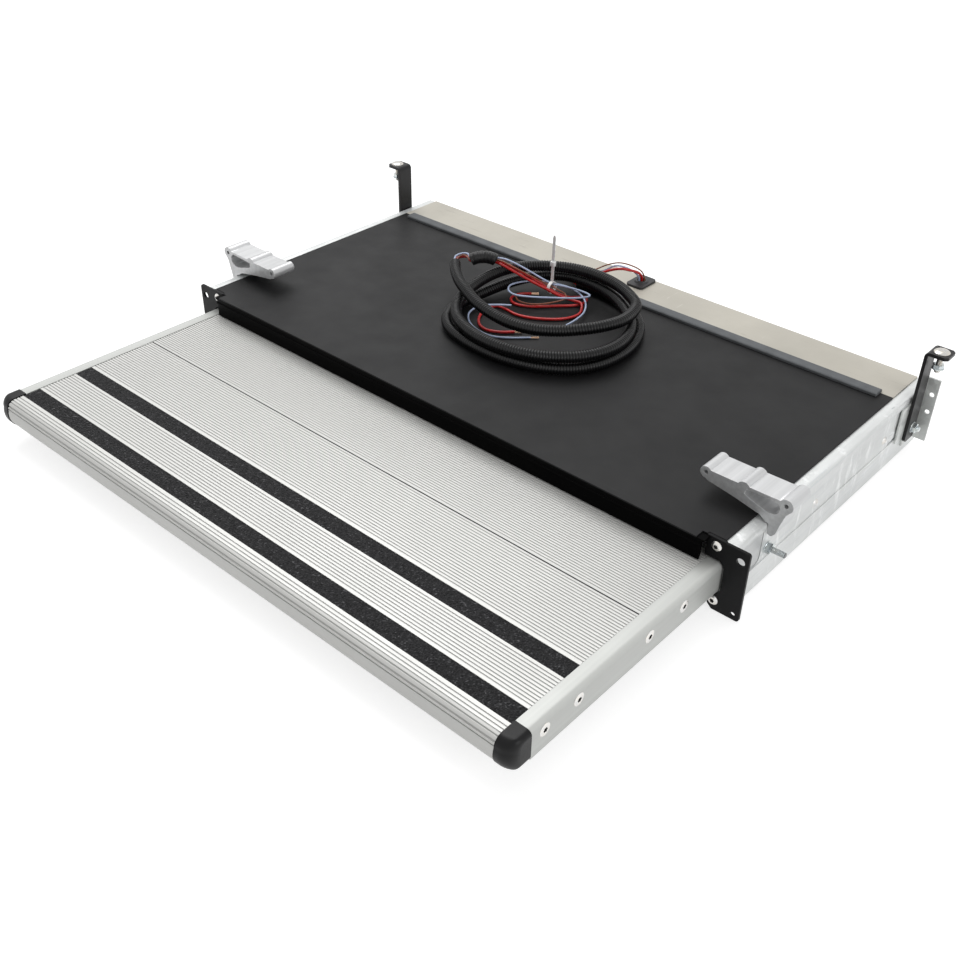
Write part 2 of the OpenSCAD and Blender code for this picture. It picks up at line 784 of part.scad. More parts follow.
// Rounds the plate's two outer corners
module offset_corners(r) {
  difference() {
    children();
    for (c = [[ear_top, -1], [plate_bottom, 1]])
      translate([plate_x - r, c[0] + c[1] * r]) difference() {
        plate_2d([0, min(0, -c[1] * (r + overcut))], [r + overcut, max(0, -c[1] * (r + overcut))]);
        circle(r);
      }
  }
}

module front_plate(side) {
  color([0.09, 0.09, 0.1]) on_side(side) along_y(0, plate_t) front_plate_2d();
}

module front_plate_left() { front_plate(-1); }
module front_plate_right() { front_plate(1); }

// Pan-head screws that hold the plates to the channels' screw ports
module plate_screws() {
  color([0.78, 0.78, 0.8]) both_sides() for (p = [port_up, port_low]) {
    rod_y(p[0], 0, plate_t + 14, p[1], channel_bore_r - 0.1);
    difference() {
      translate([p[0], 0, p[1]]) rotate([90, 0, 0]) rotate_extrude() intersection() {
        translate([0, -6.5]) circle(9);
        square([4.6, 3]);
      }
      translate([p[0], -1.2, p[1]]) rotate([90, 0, 0]) cylinder(h = 3, r = 1.7, $fn = 6);
    }
  }
}

// Folded strip that ties the channels' lower flanges at the front
tie_t = 1.5;
module front_cross_member() {
  edge_x = case_x - flange_in - 1;
  rise = 6;
  color([0.8, 0.81, 0.8]) union() {
    block([-(case_x - 6), tie_y0, case_z0 - tie_t], [case_x - 6, tie_y1, case_z0]);
    for (y = [tie_y0, tie_y1 - tie_t])
      block([-edge_x, y, case_z0 - tie_t / 2], [edge_x, y + tie_t, case_z0 + rise]);
  }
}

// Tray under the motor compartment
module motor_tray() {
  edge_x = case_x - flange_in - 1;
  color([0.8, 0.81, 0.8]) union() {
    block([-(case_x - 6), joint_y - 8, case_z0 - tie_t], [case_x - 6, case_d, case_z0]);
    block([-edge_x, joint_y - 8, case_z0 - tie_t / 2], [edge_x, joint_y - 8 + tie_t, case_z0 + 6]);
  }
}

// Front bearing of the lead screw, on the front cross member
bear_top = deck_z - 1.2;
module screw_bearing() {
  color([0.85, 0.84, 0.8]) difference() {
    union() {
      block([-9, bear_y0, case_z0], [9, bear_y1, bear_top]);
      block([-20, bear_y0, case_z0], [20, bear_y1, case_z0 + 5]);
    }
    rod_y(0, bear_y0 - overcut, bear_y1 + overcut, screw_z, journal_r + run_gap);
  }
}

// Worm gearbox at the rear end of the lead screw
gear_x = 20;
gear_z0 = case_z0 + 3;
gear_z1 = screw_z + 20;
motor_z = screw_z + 2;
module gearbox() {
  color([0.55, 0.56, 0.57]) difference() {
    union() {
      along_y(gear_y0, gear_y0 + gear_len) hull() for (x = [-gear_x + 5, gear_x - 5])
        for (z = [gear_z0 + 5, gear_z1 - 5]) translate([x, z]) circle(5, $fn = 32);
      block([-gear_x - 12, gear_y0 + 6, case_z0], [gear_x + 12, gear_y0 + gear_len - 6, gear_z0 + 3]);
    }
    rod_y(0, gear_y0 - overcut, gear_y0 + 20, screw_z, journal_r + run_gap);
    for (x = [-gear_x - 7, gear_x + 7])
      translate([x, gear_y0 + gear_len / 2, case_z0 - overcut]) cylinder(h = 20, r = 2.7);
  }
}

module gearbox_screws() {
  color([0.7, 0.7, 0.72]) for (x = [-gear_x - 7, gear_x + 7])
    translate([x, gear_y0 + gear_len / 2, case_z0]) {
      cylinder(h = gear_z0 + 3 - case_z0, r = 2.5);
      translate([0, 0, gear_z0 + 3 - case_z0]) cylinder(h = 3, r = 4.2);
    }
}

// Direct-current motor on the gearbox's left side
module drive_motor() {
  y = gear_y0 + gear_len / 2;
  color([0.16, 0.16, 0.17]) union() {
    rod_x(-gear_x - 4, -gear_x, y, motor_z, 12);
    rod_x(-gear_x - 70, -gear_x - 14, y, motor_z, 17);
    rod_x(-gear_x - 14, -gear_x - 4, y, motor_z, 15);
    rod_x(-gear_x - 76, -gear_x - 70, y, motor_z, 8);
  }
}

// Hanger straps, bent outward at the top. The right one lies on the rear angle.
function hanger_x0(side) = side > 0 ? case_x + angle_t : case_x;
function hanger_y(side) = side > 0 ? strap_y_right : strap_y_left;
strap_z1 = cover_z + strap_rise;
function strap_top(side) = strap_z1 + (side > 0 ? 0 : 3);
function pad_at(side) = hanger_x0(side) + (side > 0 ? 12.5 : 15);
strap_z0 = track_z - 14;
strap_bend_r = 5;
angle_t = 2;
module strap_side_2d(x0, top) {
  union() {
    plate_2d([x0, strap_z0], [x0 + strap_t, top - strap_bend_r]);
    plate_2d([x0 + strap_bend_r, top - strap_t], [x0 + strap_arm, top]);
    translate([x0 + strap_bend_r, top - strap_bend_r]) difference() {
      intersection() {
        circle(strap_bend_r);
        plate_2d([-strap_bend_r, 0], [0, strap_bend_r]);
      }
      circle(strap_bend_r - strap_t);
    }
  }
}

pad_shank_r = 3;
pad_r = 8;
strap_corner = 4.6;
module hanger_strap(side) {
  x0 = hanger_x0(side);
  y = hanger_y(side);
  top = strap_top(side);
  color([0.11, 0.11, 0.12]) on_side(side) difference() {
    along_y(y - strap_w / 2, y + strap_w / 2) strap_side_2d(x0, top);
    rod_x(x0 - overcut, x0 + strap_t + overcut, y, hanger_bolt_z, hanger_bolt_r + screw_fit);
    translate([pad_at(side), y, top - strap_t - overcut])
      cylinder(h = strap_t + 2 * overcut, r = pad_shank_r + screw_fit);
    for (d = [-1, 1]) {
      translate([x0 + strap_arm, y + d * strap_w / 2, top - strap_t - overcut])
        rotate([0, 0, 45]) translate([-strap_corner / 2, -strap_corner / 2, 0])
          cube([strap_corner, strap_corner, strap_t + 2 * overcut]);
      translate([x0 - overcut, y + d * strap_w / 2, strap_z0])
        rotate([45, 0, 0]) translate([0, -strap_corner / 2, -strap_corner / 2])
          cube([strap_t + 2 * overcut, strap_corner, strap_corner]);
    }
  }
}

module hanger_strap_left() { hanger_strap(-1); }
module hanger_strap_right() { hanger_strap(1); }

// Mushroom pads on the straps' tops, each with a flat in its crown and a threaded shank
pad_h = 2.2;
pad_shank_len = 22.5;
pad_nut_drop = 18.3;
module hanger_pads() {
  color([0.7, 0.7, 0.71]) for (side = [-1, 1]) on_side(side)
    translate([pad_at(side), hanger_y(side), strap_top(side)]) {
      translate([0, 0, -pad_shank_len]) cylinder(h = pad_shank_len, r = pad_shank_r);
      rotate_extrude() intersection() {
        translate([0, -15]) circle(15.4 + pad_h);
        square([pad_r, pad_h]);
      }
    }
}

module hanger_pad_nuts() {
  color([0.6, 0.63, 0.66]) for (side = [-1, 1]) on_side(side)
    translate([pad_at(side), hanger_y(side), strap_top(side) - pad_nut_drop]) difference() {
      union() {
        cylinder(h = 5, r = 10 / sqrt(3), $fn = 6);
        cylinder(h = 1, r = 6.2);
      }
      translate([0, 0, -overcut]) cylinder(h = 8, r = pad_shank_r + 0.02);
    }
}

// Bolts that hold the straps to the channels
module hanger_bolts() {
  color([0.62, 0.66, 0.7]) for (side = [-1, 1]) on_side(side) {
    x1 = hanger_x0(side) + strap_t;
    rod_x(track_x1 - track_t, track_x1, hanger_y(side), hanger_bolt_z, hanger_head_r);
    rod_x(track_x1, x1, hanger_y(side), hanger_bolt_z, hanger_bolt_r);
    translate([x1, hanger_y(side), hanger_bolt_z]) rotate([0, 90, 0]) {
      cylinder(h = 1.2, r = 6.2);
      translate([0, 0, 1.2]) cylinder(h = 4, r = 10 / sqrt(3), $fn = 6);
      translate([0, 0, 5.2]) cylinder(h = 3, r = hanger_bolt_r);
    }
  }
}

// Perforated angle behind the right strap
angle_out = 16;
angle_y = strap_y_right + strap_w / 2 + 9.7;
angle_top = cover_z + 13;
angle_bottom = strap_z0 - 7;
angle_leg = 48;
angle_step = 12;
angle_hole_r = 2.6;
angle_hole_pitch = 20.4;
angle_hole_x = case_x + 10.5;
angle_hole_z = cover_z - 5.5;
module rear_angle() {
  x0 = case_x;
  color([0.72, 0.73, 0.72]) difference() {
    union() {
      block([x0, angle_y - angle_leg, angle_bottom + angle_step],
            [x0 + angle_t, angle_y, case_z1 - band_h]);
      block([x0, strap_y_right - strap_w / 2 + 4, angle_bottom],
            [x0 + angle_t, angle_y, case_z1 - band_h]);
      block([x0, angle_y - angle_t, angle_bottom], [x0 + angle_out, angle_y, angle_top]);
    }
    rod_x(x0 - overcut, x0 + angle_t + overcut, strap_y_right, hanger_bolt_z,
          hanger_bolt_r + screw_fit);
    for (i = [0:1])
      rod_y(angle_hole_x, angle_y - angle_t - overcut, angle_y + overcut,
            angle_hole_z - i * angle_hole_pitch, angle_hole_r);
  }
}

// Clamp brackets: an extruded profile with three screw ports that hooks over
// the channel's outer edge. It is drawn from the edge of the channel: u runs
// outward from the channel's face and v up from its top.
clamp_seat = 0.3;
clamp_port_in = [-66.6, 23.2];
clamp_port_mid = [-28.6, 24.4];
clamp_port_out = [13, 25.2];
module clamp_2d() {
  boss = 6.4;
  difference() {
    union() {
      polygon([
        [-69, 18.2], [-63.6, 15.6], [-35.4, 11], [-9.4, 5.6], [-3, 1.2], [clamp_seat, clamp_seat],
        [clamp_seat, -9.8], [3.3, -11.2], [5.2, -10.8], [8.2, -6.9], [10.4, 2.4], [14.3, 15.8],
        [17.6, 20.5], [13, 29], [4.2, 28.4], [-22, 27.9], [-34, 27.2], [-64, 26.9]]);
      translate(clamp_port_in) circle(boss - 0.4);
      translate(clamp_port_mid) circle(boss);
      translate(clamp_port_out) circle(boss + 0.4);
    }
    translate(clamp_port_in) circle(port_r);
    translate(clamp_port_out) circle(port_r);
    polygon([[-27, 24.2], [2.8, 25.8], [6, 24], [8, 20.5], [7, 15], [3.4, 12], [-2, 11.4],
             [-6.7, 12], [-24.4, 17.6], [-27.2, 19.6]]);
  }
}

module clamp_bracket(side, y) {
  color([0.78, 0.78, 0.8]) on_side(side)
    translate([case_x, 0, case_z1]) along_y(y, y + clamp_len) clamp_2d();
}

module clamp_bracket_left() { clamp_bracket(-1, clamp_y_left); }
module clamp_bracket_right() { clamp_bracket(1, clamp_y_right); }

// Rubber grommet on the rear panel
grommet_w = 23;
grommet_l = 32;
grommet_t = 3;
module cable_grommet() {
  neck = 4;
  color([0.08, 0.08, 0.09]) translate([grommet_x, grommet_y, cover_z]) difference() {
    union() {
      linear_extrude(grommet_t) difference() {
        square([grommet_w, grommet_l], center = true);
        for (sx = [-1, 1], sy = [-1, 1])
          translate([sx * (grommet_w / 2 - 4), sy * (grommet_l / 2 - 4)]) difference() {
            translate([sx > 0 ? 0 : -5, sy > 0 ? 0 : -5]) square(5);
            circle(4);
          }
      }
      translate([0, 0, grommet_t]) cylinder(h = 2, r1 = 9, r2 = 7.6);
      translate([0, 0, -cover_t - neck]) cylinder(h = neck + cover_t, r = grommet_hole_r - 0.1);
    }
    translate([0, 0, -cover_t - neck - overcut]) cylinder(h = 20, r = 5);
  }
}

// Harness. The conduit starts at its free end, which lies on top of the pile.
// Its first turn is a flattened loop in the upper layer. Then it drops into the
// lower layers and ends under the first turn. Each point of its way is given by
// its place on the cover and by its height, in layers above the lowest one.
hose_r = hose_d / 2;
layer = hose_d + 0.9;
hose_rib_d = 0.9;
hose_bore_r = hose_r - 2.2;
hose_way = [
  [-140, 192, 2.108], [-125, 177, 2.094], [-105, 161.5, 2.065], [-84, 150, 1.978],
  [-60, 141, 1.748], [-33, 137, 1.504], [-6, 137.5, 1.388], [20, 143.5, 1.417], [43, 154.5, 1.59],
  [63, 170, 1.806], [77, 189, 1.935], [84, 211, 1.964], [82, 233, 1.964], [73, 253, 1.95],
  [56, 266, 1.95], [36, 276, 1.95], [12, 282, 1.95], [-14, 282.5, 1.95], [-38, 277.5, 1.921],
  [-60, 267, 1.863], [-80, 251, 1.777], [-94, 231.5, 1.647], [-101, 209, 1.46], [-102, 184, 1.245],
  [-97, 158, 1.058], [-85, 134.5, 0.971], [-66, 116, 0.957], [-41, 104, 0.957], [-15, 98.5, 0.957],
  [13, 99, 0.957], [42, 106.5, 0.957], [66, 120.5, 0.957], [86, 141.5, 0.957], [97, 168, 0.957],
  [98, 194, 0.957], [90, 219, 0.957], [75, 241, 0.957], [55, 259, 0.957], [31, 273.5, 0.957],
  [4, 283, 0.957], [-23, 286, 0.928], [-46, 283, 0.871], [-68, 271, 0.741], [-84, 251, 0.554],
  [-95, 227, 0.338], [-102, 201, 0.122], [-105.5, 174, 0.014], [-103, 149, 0], [-93, 128, 0],
  [-75, 112.5, 0], [-50, 103.5, 0], [-22, 99.5, 0], [7, 99.8, 0], [36, 105.5, 0], [62, 117, 0],
  [82, 134, 0], [95, 158, 0], [99.5, 185, 0], [97.5, 213, 0], [88, 240, 0], [72, 263, 0],
  [51, 280.5, 0], [26, 292.5, 0], [0, 298, 0], [-19, 299, 0], [-38, 297, 0]];
hose_line = [for (q = hose_way) [q[0], q[1], cover_z + hose_r + 0.2 + layer * q[2]]];

// Smooth route through hand-chosen points, n steps between neighbours
function spline_at(q, i, t) =
  0.5 * ((2 * q[i]) + (q[i + 1] - q[i - 1]) * t
    + (2 * q[i - 1] - 5 * q[i] + 4 * q[i + 1] - q[i + 2]) * t * t
    + (3 * q[i] - q[i - 1] - 3 * q[i + 1] + q[i + 2]) * t * t * t);
function with_ends(p) = concat([2 * p[0] - p[1]], p, [2 * p[len(p) - 1] - p[len(p) - 2]]);
function spline(p, n) =
  let (q = with_ends(p))
  concat([for (i = [1:len(p) - 1], k = [0:n - 1]) spline_at(q, i, k / n)], [p[len(p) - 1]]);

// Rings of a tube along a route, with side and up directions level with the floor
function unit(v) = v / norm(v);
function heading(p, i) = unit(p[min(i + 1, len(p) - 1)] - p[max(i - 1, 0)]);
function ring(c, t, r, n) =
  let (side = unit(cross(t, [0, 0, 1])), up = cross(side, t))
  [for (k = [0:n - 1]) let (a = 360 * (k + 0.5) / n) c + r * (cos(a) * side + sin(a) * up)];

// Tube through the points p, with a radius for each
module tube(p, radii, n) {
  m = len(p);
  points = [for (i = [0:m - 1]) each ring(p[i], heading(p, i), radii[i], n)];
  faces = concat(
    [for (k = [1:n - 2]) [0, k + 1, k]],
    [for (k = [1:n - 2]) [(m - 1) * n, (m - 1) * n + k, (m - 1) * n + k + 1]],
    [for (i = [0:m - 2], k = [0:n - 1]) let (a = i * n + k, b = i * n + (k + 1) % n)
      each [[a, b, a + n], [b, b + n, a + n]]]);
  polyhedron(points, faces, convexity = 10);
}

// Tube with a bore. The bore's wall follows q, which starts and ends like p.
module bored_tube(p, radii, q, bore_r, n) {
  m = len(p);
  w = len(q);
  inner = m * n;
  points = concat([for (i = [0:m - 1]) each ring(p[i], heading(p, i), radii[i], n)],
                  [for (i = [0:w - 1]) each ring(q[i], heading(q, i), bore_r, n)]);
  ends = [for (k = [0:n - 1]) let (k1 = (k + 1) % n, a = (m - 1) * n, b = inner + (w - 1) * n)
    each [[k1, k, inner + k], [k1, inner + k, inner + k1],
          [a + k, a + k1, b + k], [a + k1, b + k1, b + k]]];
  outside = [for (i = [0:m - 2], k = [0:n - 1]) let (a = i * n + k, b = i * n + (k + 1) % n)
    each [[a, b, a + n], [b, b + n, a + n]]];
  inside = [for (i = [0:w - 2], k = [0:n - 1])
    let (a = inner + i * n + k, b = inner + i * n + (k + 1) % n)
    each [[b, a, a + n], [b + n, b, a + n]]];
  polyhedron(points, concat(ends, outside, inside), convexity = 10);
}

// The rings lie close on the stretch that shows its ribs, and wider on the rest
ribbed = 23;
rib_steps = 9;
plain_steps = 2;
rib_rings = ribbed * rib_steps;
hose_q = with_ends(hose_line);
hose_path = concat(
  [for (i = [1:ribbed], k = [0:rib_steps - 1]) spline_at(hose_q, i, k / rib_steps)],
  [for (i = [ribbed + 1:len(hose_line) - 1], k = [0:plain_steps - 1])
    spline_at(hose_q, i, k / plain_steps)],
  [hose_line[len(hose_line) - 1]]);
hose_radii = [for (i = [0:len(hose_path) - 1])
  i < rib_rings && i % 2 == 1 ? hose_r - hose_rib_d : hose_r];
bore_at = concat([0, 1], [for (i = [3:3:rib_rings]) i],
                 [for (i = [rib_rings + 1:len(hose_path) - 1]) i]);
bore_path = [for (i = bore_at) hose_path[i]];

// Least gap of the coil to itself, between stretches well apart along the conduit
gap_p = spline(hose_line, 4);
gap_apart = 28;
least_gap = min([for (i = [0:len(gap_p) - 1], j = [i + gap_apart:1:len(gap_p) - 1])
  norm(gap_p[i] - gap_p[j]) - hose_d]);
echo(str("least gap of the coiled conduit to itself, mm: ", least_gap));

module harness_conduit() {
  color([0.08, 0.08, 0.09]) bored_tube(hose_path, hose_radii, bore_path, hose_bore_r, 8);
}

// Sleeve on the bundle beside the conduit's free end, bent in an upright arc
sleeve_from = [-123, 201];
sleeve_to = [-103, 220];
sleeve_r = 7.5;
sleeve_bore = 5.8;
sleeve_bend = 30;
sleeve_h = hose_d + 0.7 + 1.53 * layer + sleeve_r;
sleeve_z = cover_z + sleeve_h;
sleeve_mid = (sleeve_from + sleeve_to) / 2;
sleeve_dir = atan2(sleeve_to[1] - sleeve_from[1], sleeve_to[0] - sleeve_from[0]);
sleeve_half = asin(norm(sleeve_to - sleeve_from) / 2 / sleeve_bend);
module conduit_sleeve() {
  color([0.07, 0.07, 0.08])
    translate([sleeve_mid[0], sleeve_mid[1], sleeve_z - sleeve_bend * cos(sleeve_half)])
      rotate([0, 0, sleeve_dir]) rotate([90, 0, 0])
        rotate([0, 0, 90 - sleeve_half]) rotate_extrude(angle = 2 * sleeve_half)
          translate([sleeve_bend, 0]) difference() {
            circle(sleeve_r);
            circle(sleeve_bore);
          }
}

module wire(route, r, n = 6) {
  tube(route, [for (p = route) r], n);
}

// Wires. Heights in their routes are above the cover.
red_r = 1.6;
brown_r = 0.8;
blue_r = 1.1;
function raised(p) = [for (q = p) q + [0, 0, cover_z]];

// Leads from the grommet, in an arch over to the conduit's lower end
function into_hose(off) = [for (q = [[-34, 297.5, 0], [-26, 298.35, 0], [-18, 299, 0]])
  q + [0, 0, hose_r + 0.2] + off];
lead_red_route = raised(concat([
  [8, 361, 2], [8, 360, 9], [8, 352, 17], [5, 340, 23], [-3, 330, 26], [-15, 324, 22],
  [-30, 321, 13], [-46, 315, 7], [-53, 306, 5], [-46, 299, 5]], into_hose([0, 0, -2])));
lead_brown_route = raised(concat([
  [10.6, 363, 2], [10.8, 361, 10], [11, 353, 20], [6, 341, 28.8], [-6, 332, 32], [-20, 327, 26.8],
  [-37, 322, 16], [-54, 315, 11], [-63, 304, 10], [-50, 294.6, 9]], into_hose([0, -2, 1.6])));
lead_blue_route = raised(concat([
  [5.8, 358.6, 2], [5.6, 357.6, 9], [3, 349, 18], [-2, 338, 25.6], [-11, 330, 27.2], [-24, 325, 18.4],
  [-40, 320, 12], [-51, 313, 10.6], [-56, 305, 9.8], [-47, 300.5, 9.2]],
  into_hose([0, 1.4, 1.7])));

module lead_red() { color([0.75, 0.08, 0.06]) wire(spline(lead_red_route, 3), red_r); }
module lead_brown() { color([0.4, 0.2, 0.1]) wire(spline(lead_brown_route, 3), brown_r); }
module lead_blue() { color([0.55, 0.62, 0.8]) wire(spline(lead_blue_route, 3), blue_r); }

// Loose tails: out of the conduit's free end, through the sleeve, then in loops
// on the cover inside the coil. A wire keeps its place in the bundle, given by
// how far it lies to the left of the bundle's way and above it.
sleeve_top_h = sleeve_h + sleeve_bend * (1 - cos(sleeve_half));
free_h = hose_r + 0.2 + 2.1 * layer;
bundle_way = [
  [-120, 173.2, free_h], [-127.5, 180.3, free_h], [-135, 187.5, free_h + 0.1],
  [-142, 194.5, free_h + 0.7], [-145.3, 200.5, free_h + 2.1], [-142, 206, free_h + 4.1],
  [-135, 206.6, sleeve_h - 0.9], [sleeve_from[0], sleeve_from[1], sleeve_h],
  [sleeve_mid[0], sleeve_mid[1], sleeve_top_h], [sleeve_to[0], sleeve_to[1], sleeve_h]];
bundle_left = [[-0.55, -0.55], [-0.55, -0.55], [-0.55, -0.55], [-0.8, -0.5], [-1, 0.1], [-0.5, 0.9],
  [0.15, 1], [-0.69, 0.72], [-0.69, 0.72], [-0.69, 0.72]];
function in_bundle(left, up, first = 0) = [for (i = [first:len(bundle_way) - 1])
  bundle_way[i] + [bundle_left[i][0] * left, bundle_left[i][1] * left, i < 3 ? up * 0.8 : up]];
tail_red_route = raised(concat(in_bundle(1.9, -2.1), [
  [-93, 224, 40.2], [-82, 228, 36.5], [-70, 235, 30], [-58, 243.8, 21.5], [-46, 252.8, 12.6],
  [-37, 260, 6.6], [-29, 268, 2.6], [-22, 277, 2], [-16, 281, 2], [-10.5, 277, 2], [-8.5, 266, 2],
  [-14, 254, 2], [-25, 243, 2], [-36, 231, 2], [-47.5, 220, 2], [-58, 214, 2], [-68, 213, 2],
  [-76, 218, 2], [-79.5, 227, 2], [-76, 238, 2], [-68, 246, 2]]));
tail_front_route = raised(concat(in_bundle(-1.9, -2.1, 8), [
  [-92, 219, 40], [-80, 221.6, 36.6], [-67, 228, 30], [-54, 237, 22], [-42, 246.4, 14.4],
  [-30, 253, 8.6], [-17, 259, 6], [-7, 260, 6], [0, 254, 4.4], [4.6, 243, 2], [2, 227, 2],
  [-9, 212.5, 2], [-28, 199, 2], [-47, 193, 2], [-64, 195, 2], [-77, 193, 2], [-80, 180, 2],
  [-75, 163, 2], [-63, 148, 2], [-48, 142.5, 2], [-33, 148.5, 2], [-21, 160, 2]]));
tail_brown_route = raised(concat(in_bundle(-2.4, 1.3), [
  [-91, 220, 44], [-79, 222.4, 40.6], [-66, 230, 34.5], [-55, 244.5, 23.4], [-46, 254, 16.4],
  [-36, 257, 13], [-27, 257.4, 10.6], [-22.6, 251, 8.8], [-29, 240, 6.6], [-40, 226, 5.4],
  [-52, 218, 5], [-64, 217, 5], [-72, 222, 5]]));
tail_blue_route = raised(concat(in_bundle(1.2, 2.3), [
  [-92, 226, 44.4], [-80, 232, 40], [-68, 241, 32], [-57, 249.5, 24], [-46, 256.5, 18.2],
  [-33, 261.5, 17.6], [-17, 266, 17], [-2, 267.5, 16], [1.5, 262.5, 15.6], [-9, 248, 15.4],
  [-30, 230, 15.4], [-47, 217, 15.4], [-63, 209, 15.6], [-76, 213, 15.8], [-82.5, 226, 15.8],
  [-76, 244, 15.6], [-61, 258.6, 15.4], [-46, 265.4, 15], [-30, 268.5, 14.4], [-12, 266, 12.6],
  [2, 258, 9], [11, 243, 6], [14, 224, 5], [12, 207, 3]]));
tail_low_route = raised([[-60, 200, 6.4], [-72, 190, 6.6], [-85, 176, 6], [-88, 161, 3.4],
  [-80, 149, 1.6], [-65, 139.5, 1.4], [-46, 135, 1.4], [-30, 138, 1.4], [-15, 148.5, 1.4],
  [0, 163, 1.4]]);

module tail_red() { color([0.78, 0.09, 0.07]) wire(spline(tail_red_route, 3), red_r); }
module tail_front() { color([0.78, 0.09, 0.07]) wire(spline(tail_front_route, 3), red_r); }
module tail_brown() { color([0.42, 0.2, 0.1]) wire(spline(tail_brown_route, 3), brown_r); }
module tail_blue() { color([0.58, 0.64, 0.82]) wire(spline(tail_blue_route, 3), blue_r); }
module tail_low() { color([0.58, 0.64, 0.82]) wire(spline(tail_low_route, 3), blue_r); }

// Cable tie round the loose wires, its tail standing up
tie_at = [-46, 255.5];
tie_w = 3.6;
tie_h = 78;
tie_loop_h = 14;
module cable_tie() {
  loop_r = 7.5;
  color([0.93, 0.93, 0.93]) translate([tie_at[0], tie_at[1], cover_z]) {
    translate([-tie_w / 2, 0, tie_loop_h]) rotate([0, 90, 0]) difference() {
      cylinder(h = tie_w, r = loop_r);
      translate([0, 0, -overcut]) cylinder(h = tie_w + 2 * overcut, r = loop_r - 1.2);
    }
    translate([-tie_w / 2, -0.6, tie_loop_h + loop_r - 0.8])
      cube([tie_w, 1.2, tie_h - tie_loop_h - loop_r + 0.8]);
    translate([-2.8, -2.4, tie_h * 0.52]) cube([5.6, 4.8, 6]);
  }
}

tread_front_profile();
tread_rear_profile();
grip_strip_front();
grip_strip_rear();
side_rail_left();
side_rail_right();
end_cap_left();
end_cap_right();
rail_screws();
rear_cross_member();
slide_block_left();
slide_block_right();
slide_block_screws();
drive_nut();
nut_screws();
lead_screw();
side_channel_left();
side_channel_right();
slide_track_left();
slide_track_right();
front_guide_left();
front_guide_right();
guide_studs();
guide_nuts();
channel_rivets();
top_cover();
front_lip();
rear_panel();
seal_strip();
front_plate_left();
front_plate_right();
plate_screws();
front_cross_member();
motor_tray();
screw_bearing();
gearbox();
drive_motor();
gearbox_screws();
hanger_strap_left();
hanger_strap_right();
hanger_pads();
hanger_pad_nuts();
hanger_bolts();
rear_angle();
clamp_bracket_left();
clamp_bracket_right();
cable_grommet();
harness_conduit();
conduit_sleeve();
lead_red();
lead_brown();
lead_blue();
tail_red();
tail_front();
tail_brown();
tail_blue();
tail_low();
cable_tie();
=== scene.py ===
"""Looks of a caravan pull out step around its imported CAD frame.

The row frame is used throughout, in metres: +X to the right seen from the
entrance, +Y into the vehicle, +Z up, with the origin midway between the two
upper fixing holes. The order is camera, materials, tools for making pieces,
conduit and wires, finishes of plain nodes, fasteners, sleeve and cable tie,
tread with its strips and caps, stage, and the closing lines.
"""

import math
import random

import bmesh
import bpy
from mathutils import Matrix, Vector


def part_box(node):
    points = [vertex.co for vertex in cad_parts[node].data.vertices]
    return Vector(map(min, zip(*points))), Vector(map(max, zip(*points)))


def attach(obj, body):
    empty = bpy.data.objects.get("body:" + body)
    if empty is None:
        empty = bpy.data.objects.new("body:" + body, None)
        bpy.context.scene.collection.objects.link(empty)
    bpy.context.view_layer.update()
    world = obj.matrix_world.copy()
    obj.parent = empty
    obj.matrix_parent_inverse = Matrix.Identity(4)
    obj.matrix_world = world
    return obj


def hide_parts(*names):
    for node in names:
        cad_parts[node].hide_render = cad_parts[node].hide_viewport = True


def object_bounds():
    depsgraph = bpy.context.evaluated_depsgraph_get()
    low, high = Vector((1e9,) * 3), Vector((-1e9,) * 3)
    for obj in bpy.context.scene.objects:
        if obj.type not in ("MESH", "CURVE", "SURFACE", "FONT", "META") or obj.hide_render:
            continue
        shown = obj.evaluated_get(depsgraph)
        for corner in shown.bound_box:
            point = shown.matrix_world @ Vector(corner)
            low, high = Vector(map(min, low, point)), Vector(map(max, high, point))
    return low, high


MM = 0.001
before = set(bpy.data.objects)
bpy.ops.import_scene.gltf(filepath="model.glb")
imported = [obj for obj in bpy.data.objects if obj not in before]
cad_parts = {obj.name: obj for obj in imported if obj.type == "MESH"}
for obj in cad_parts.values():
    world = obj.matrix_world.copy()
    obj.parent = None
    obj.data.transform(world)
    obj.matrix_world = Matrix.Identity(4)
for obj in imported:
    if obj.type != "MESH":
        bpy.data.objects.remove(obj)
cad_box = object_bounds()


def middle(node):
    """The middle of a CAD node's box."""
    low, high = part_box(node)
    return (Vector(low) + Vector(high)) / 2


def both(name):
    """The left and right nodes of a pair."""
    return name + "_left", name + "_right"


def add_object(name, data):
    made = bpy.data.objects.new(name, data)
    bpy.context.scene.collection.objects.link(made)
    return made


# Camera, at the photograph's own place and angle
camera_place = Vector((0.6891, -0.7041, 0.6108))
camera_azimuth = math.radians(41.221)
camera_elevation = math.radians(35.499)
camera_roll = math.radians(1.010)
camera_lens = 42.63
sensor_width = 36


def make_camera():
    data = bpy.data.cameras.new("camera")
    data.lens = camera_lens
    data.sensor_width = sensor_width
    data.clip_start = 0.01
    data.clip_end = 50
    camera = add_object("camera", data)
    camera.matrix_world = (
        Matrix.Translation(camera_place) @ Matrix.Rotation(camera_azimuth, 4, "Z")
        @ Matrix.Rotation(math.pi / 2 - camera_elevation, 4, "X") @ Matrix.Rotation(camera_roll, 4, "Z"))
    bpy.context.scene.camera = camera


make_camera()


# Materials
def add_node(tree, kind, output, settings=None, **sockets):
    """An output of a new node. Its sockets, with _ for a space, are set to values or linked."""
    node = tree.nodes.new("ShaderNode" + kind)
    for name, value in (settings or {}).items():
        setattr(node, name, value)
    for name, value in sockets.items():
        socket = node.inputs[name.replace("_", " ")]
        if isinstance(value, bpy.types.NodeSocket):
            tree.links.new(value, socket)
        else:
            socket.default_value = value
    return node.outputs[output]


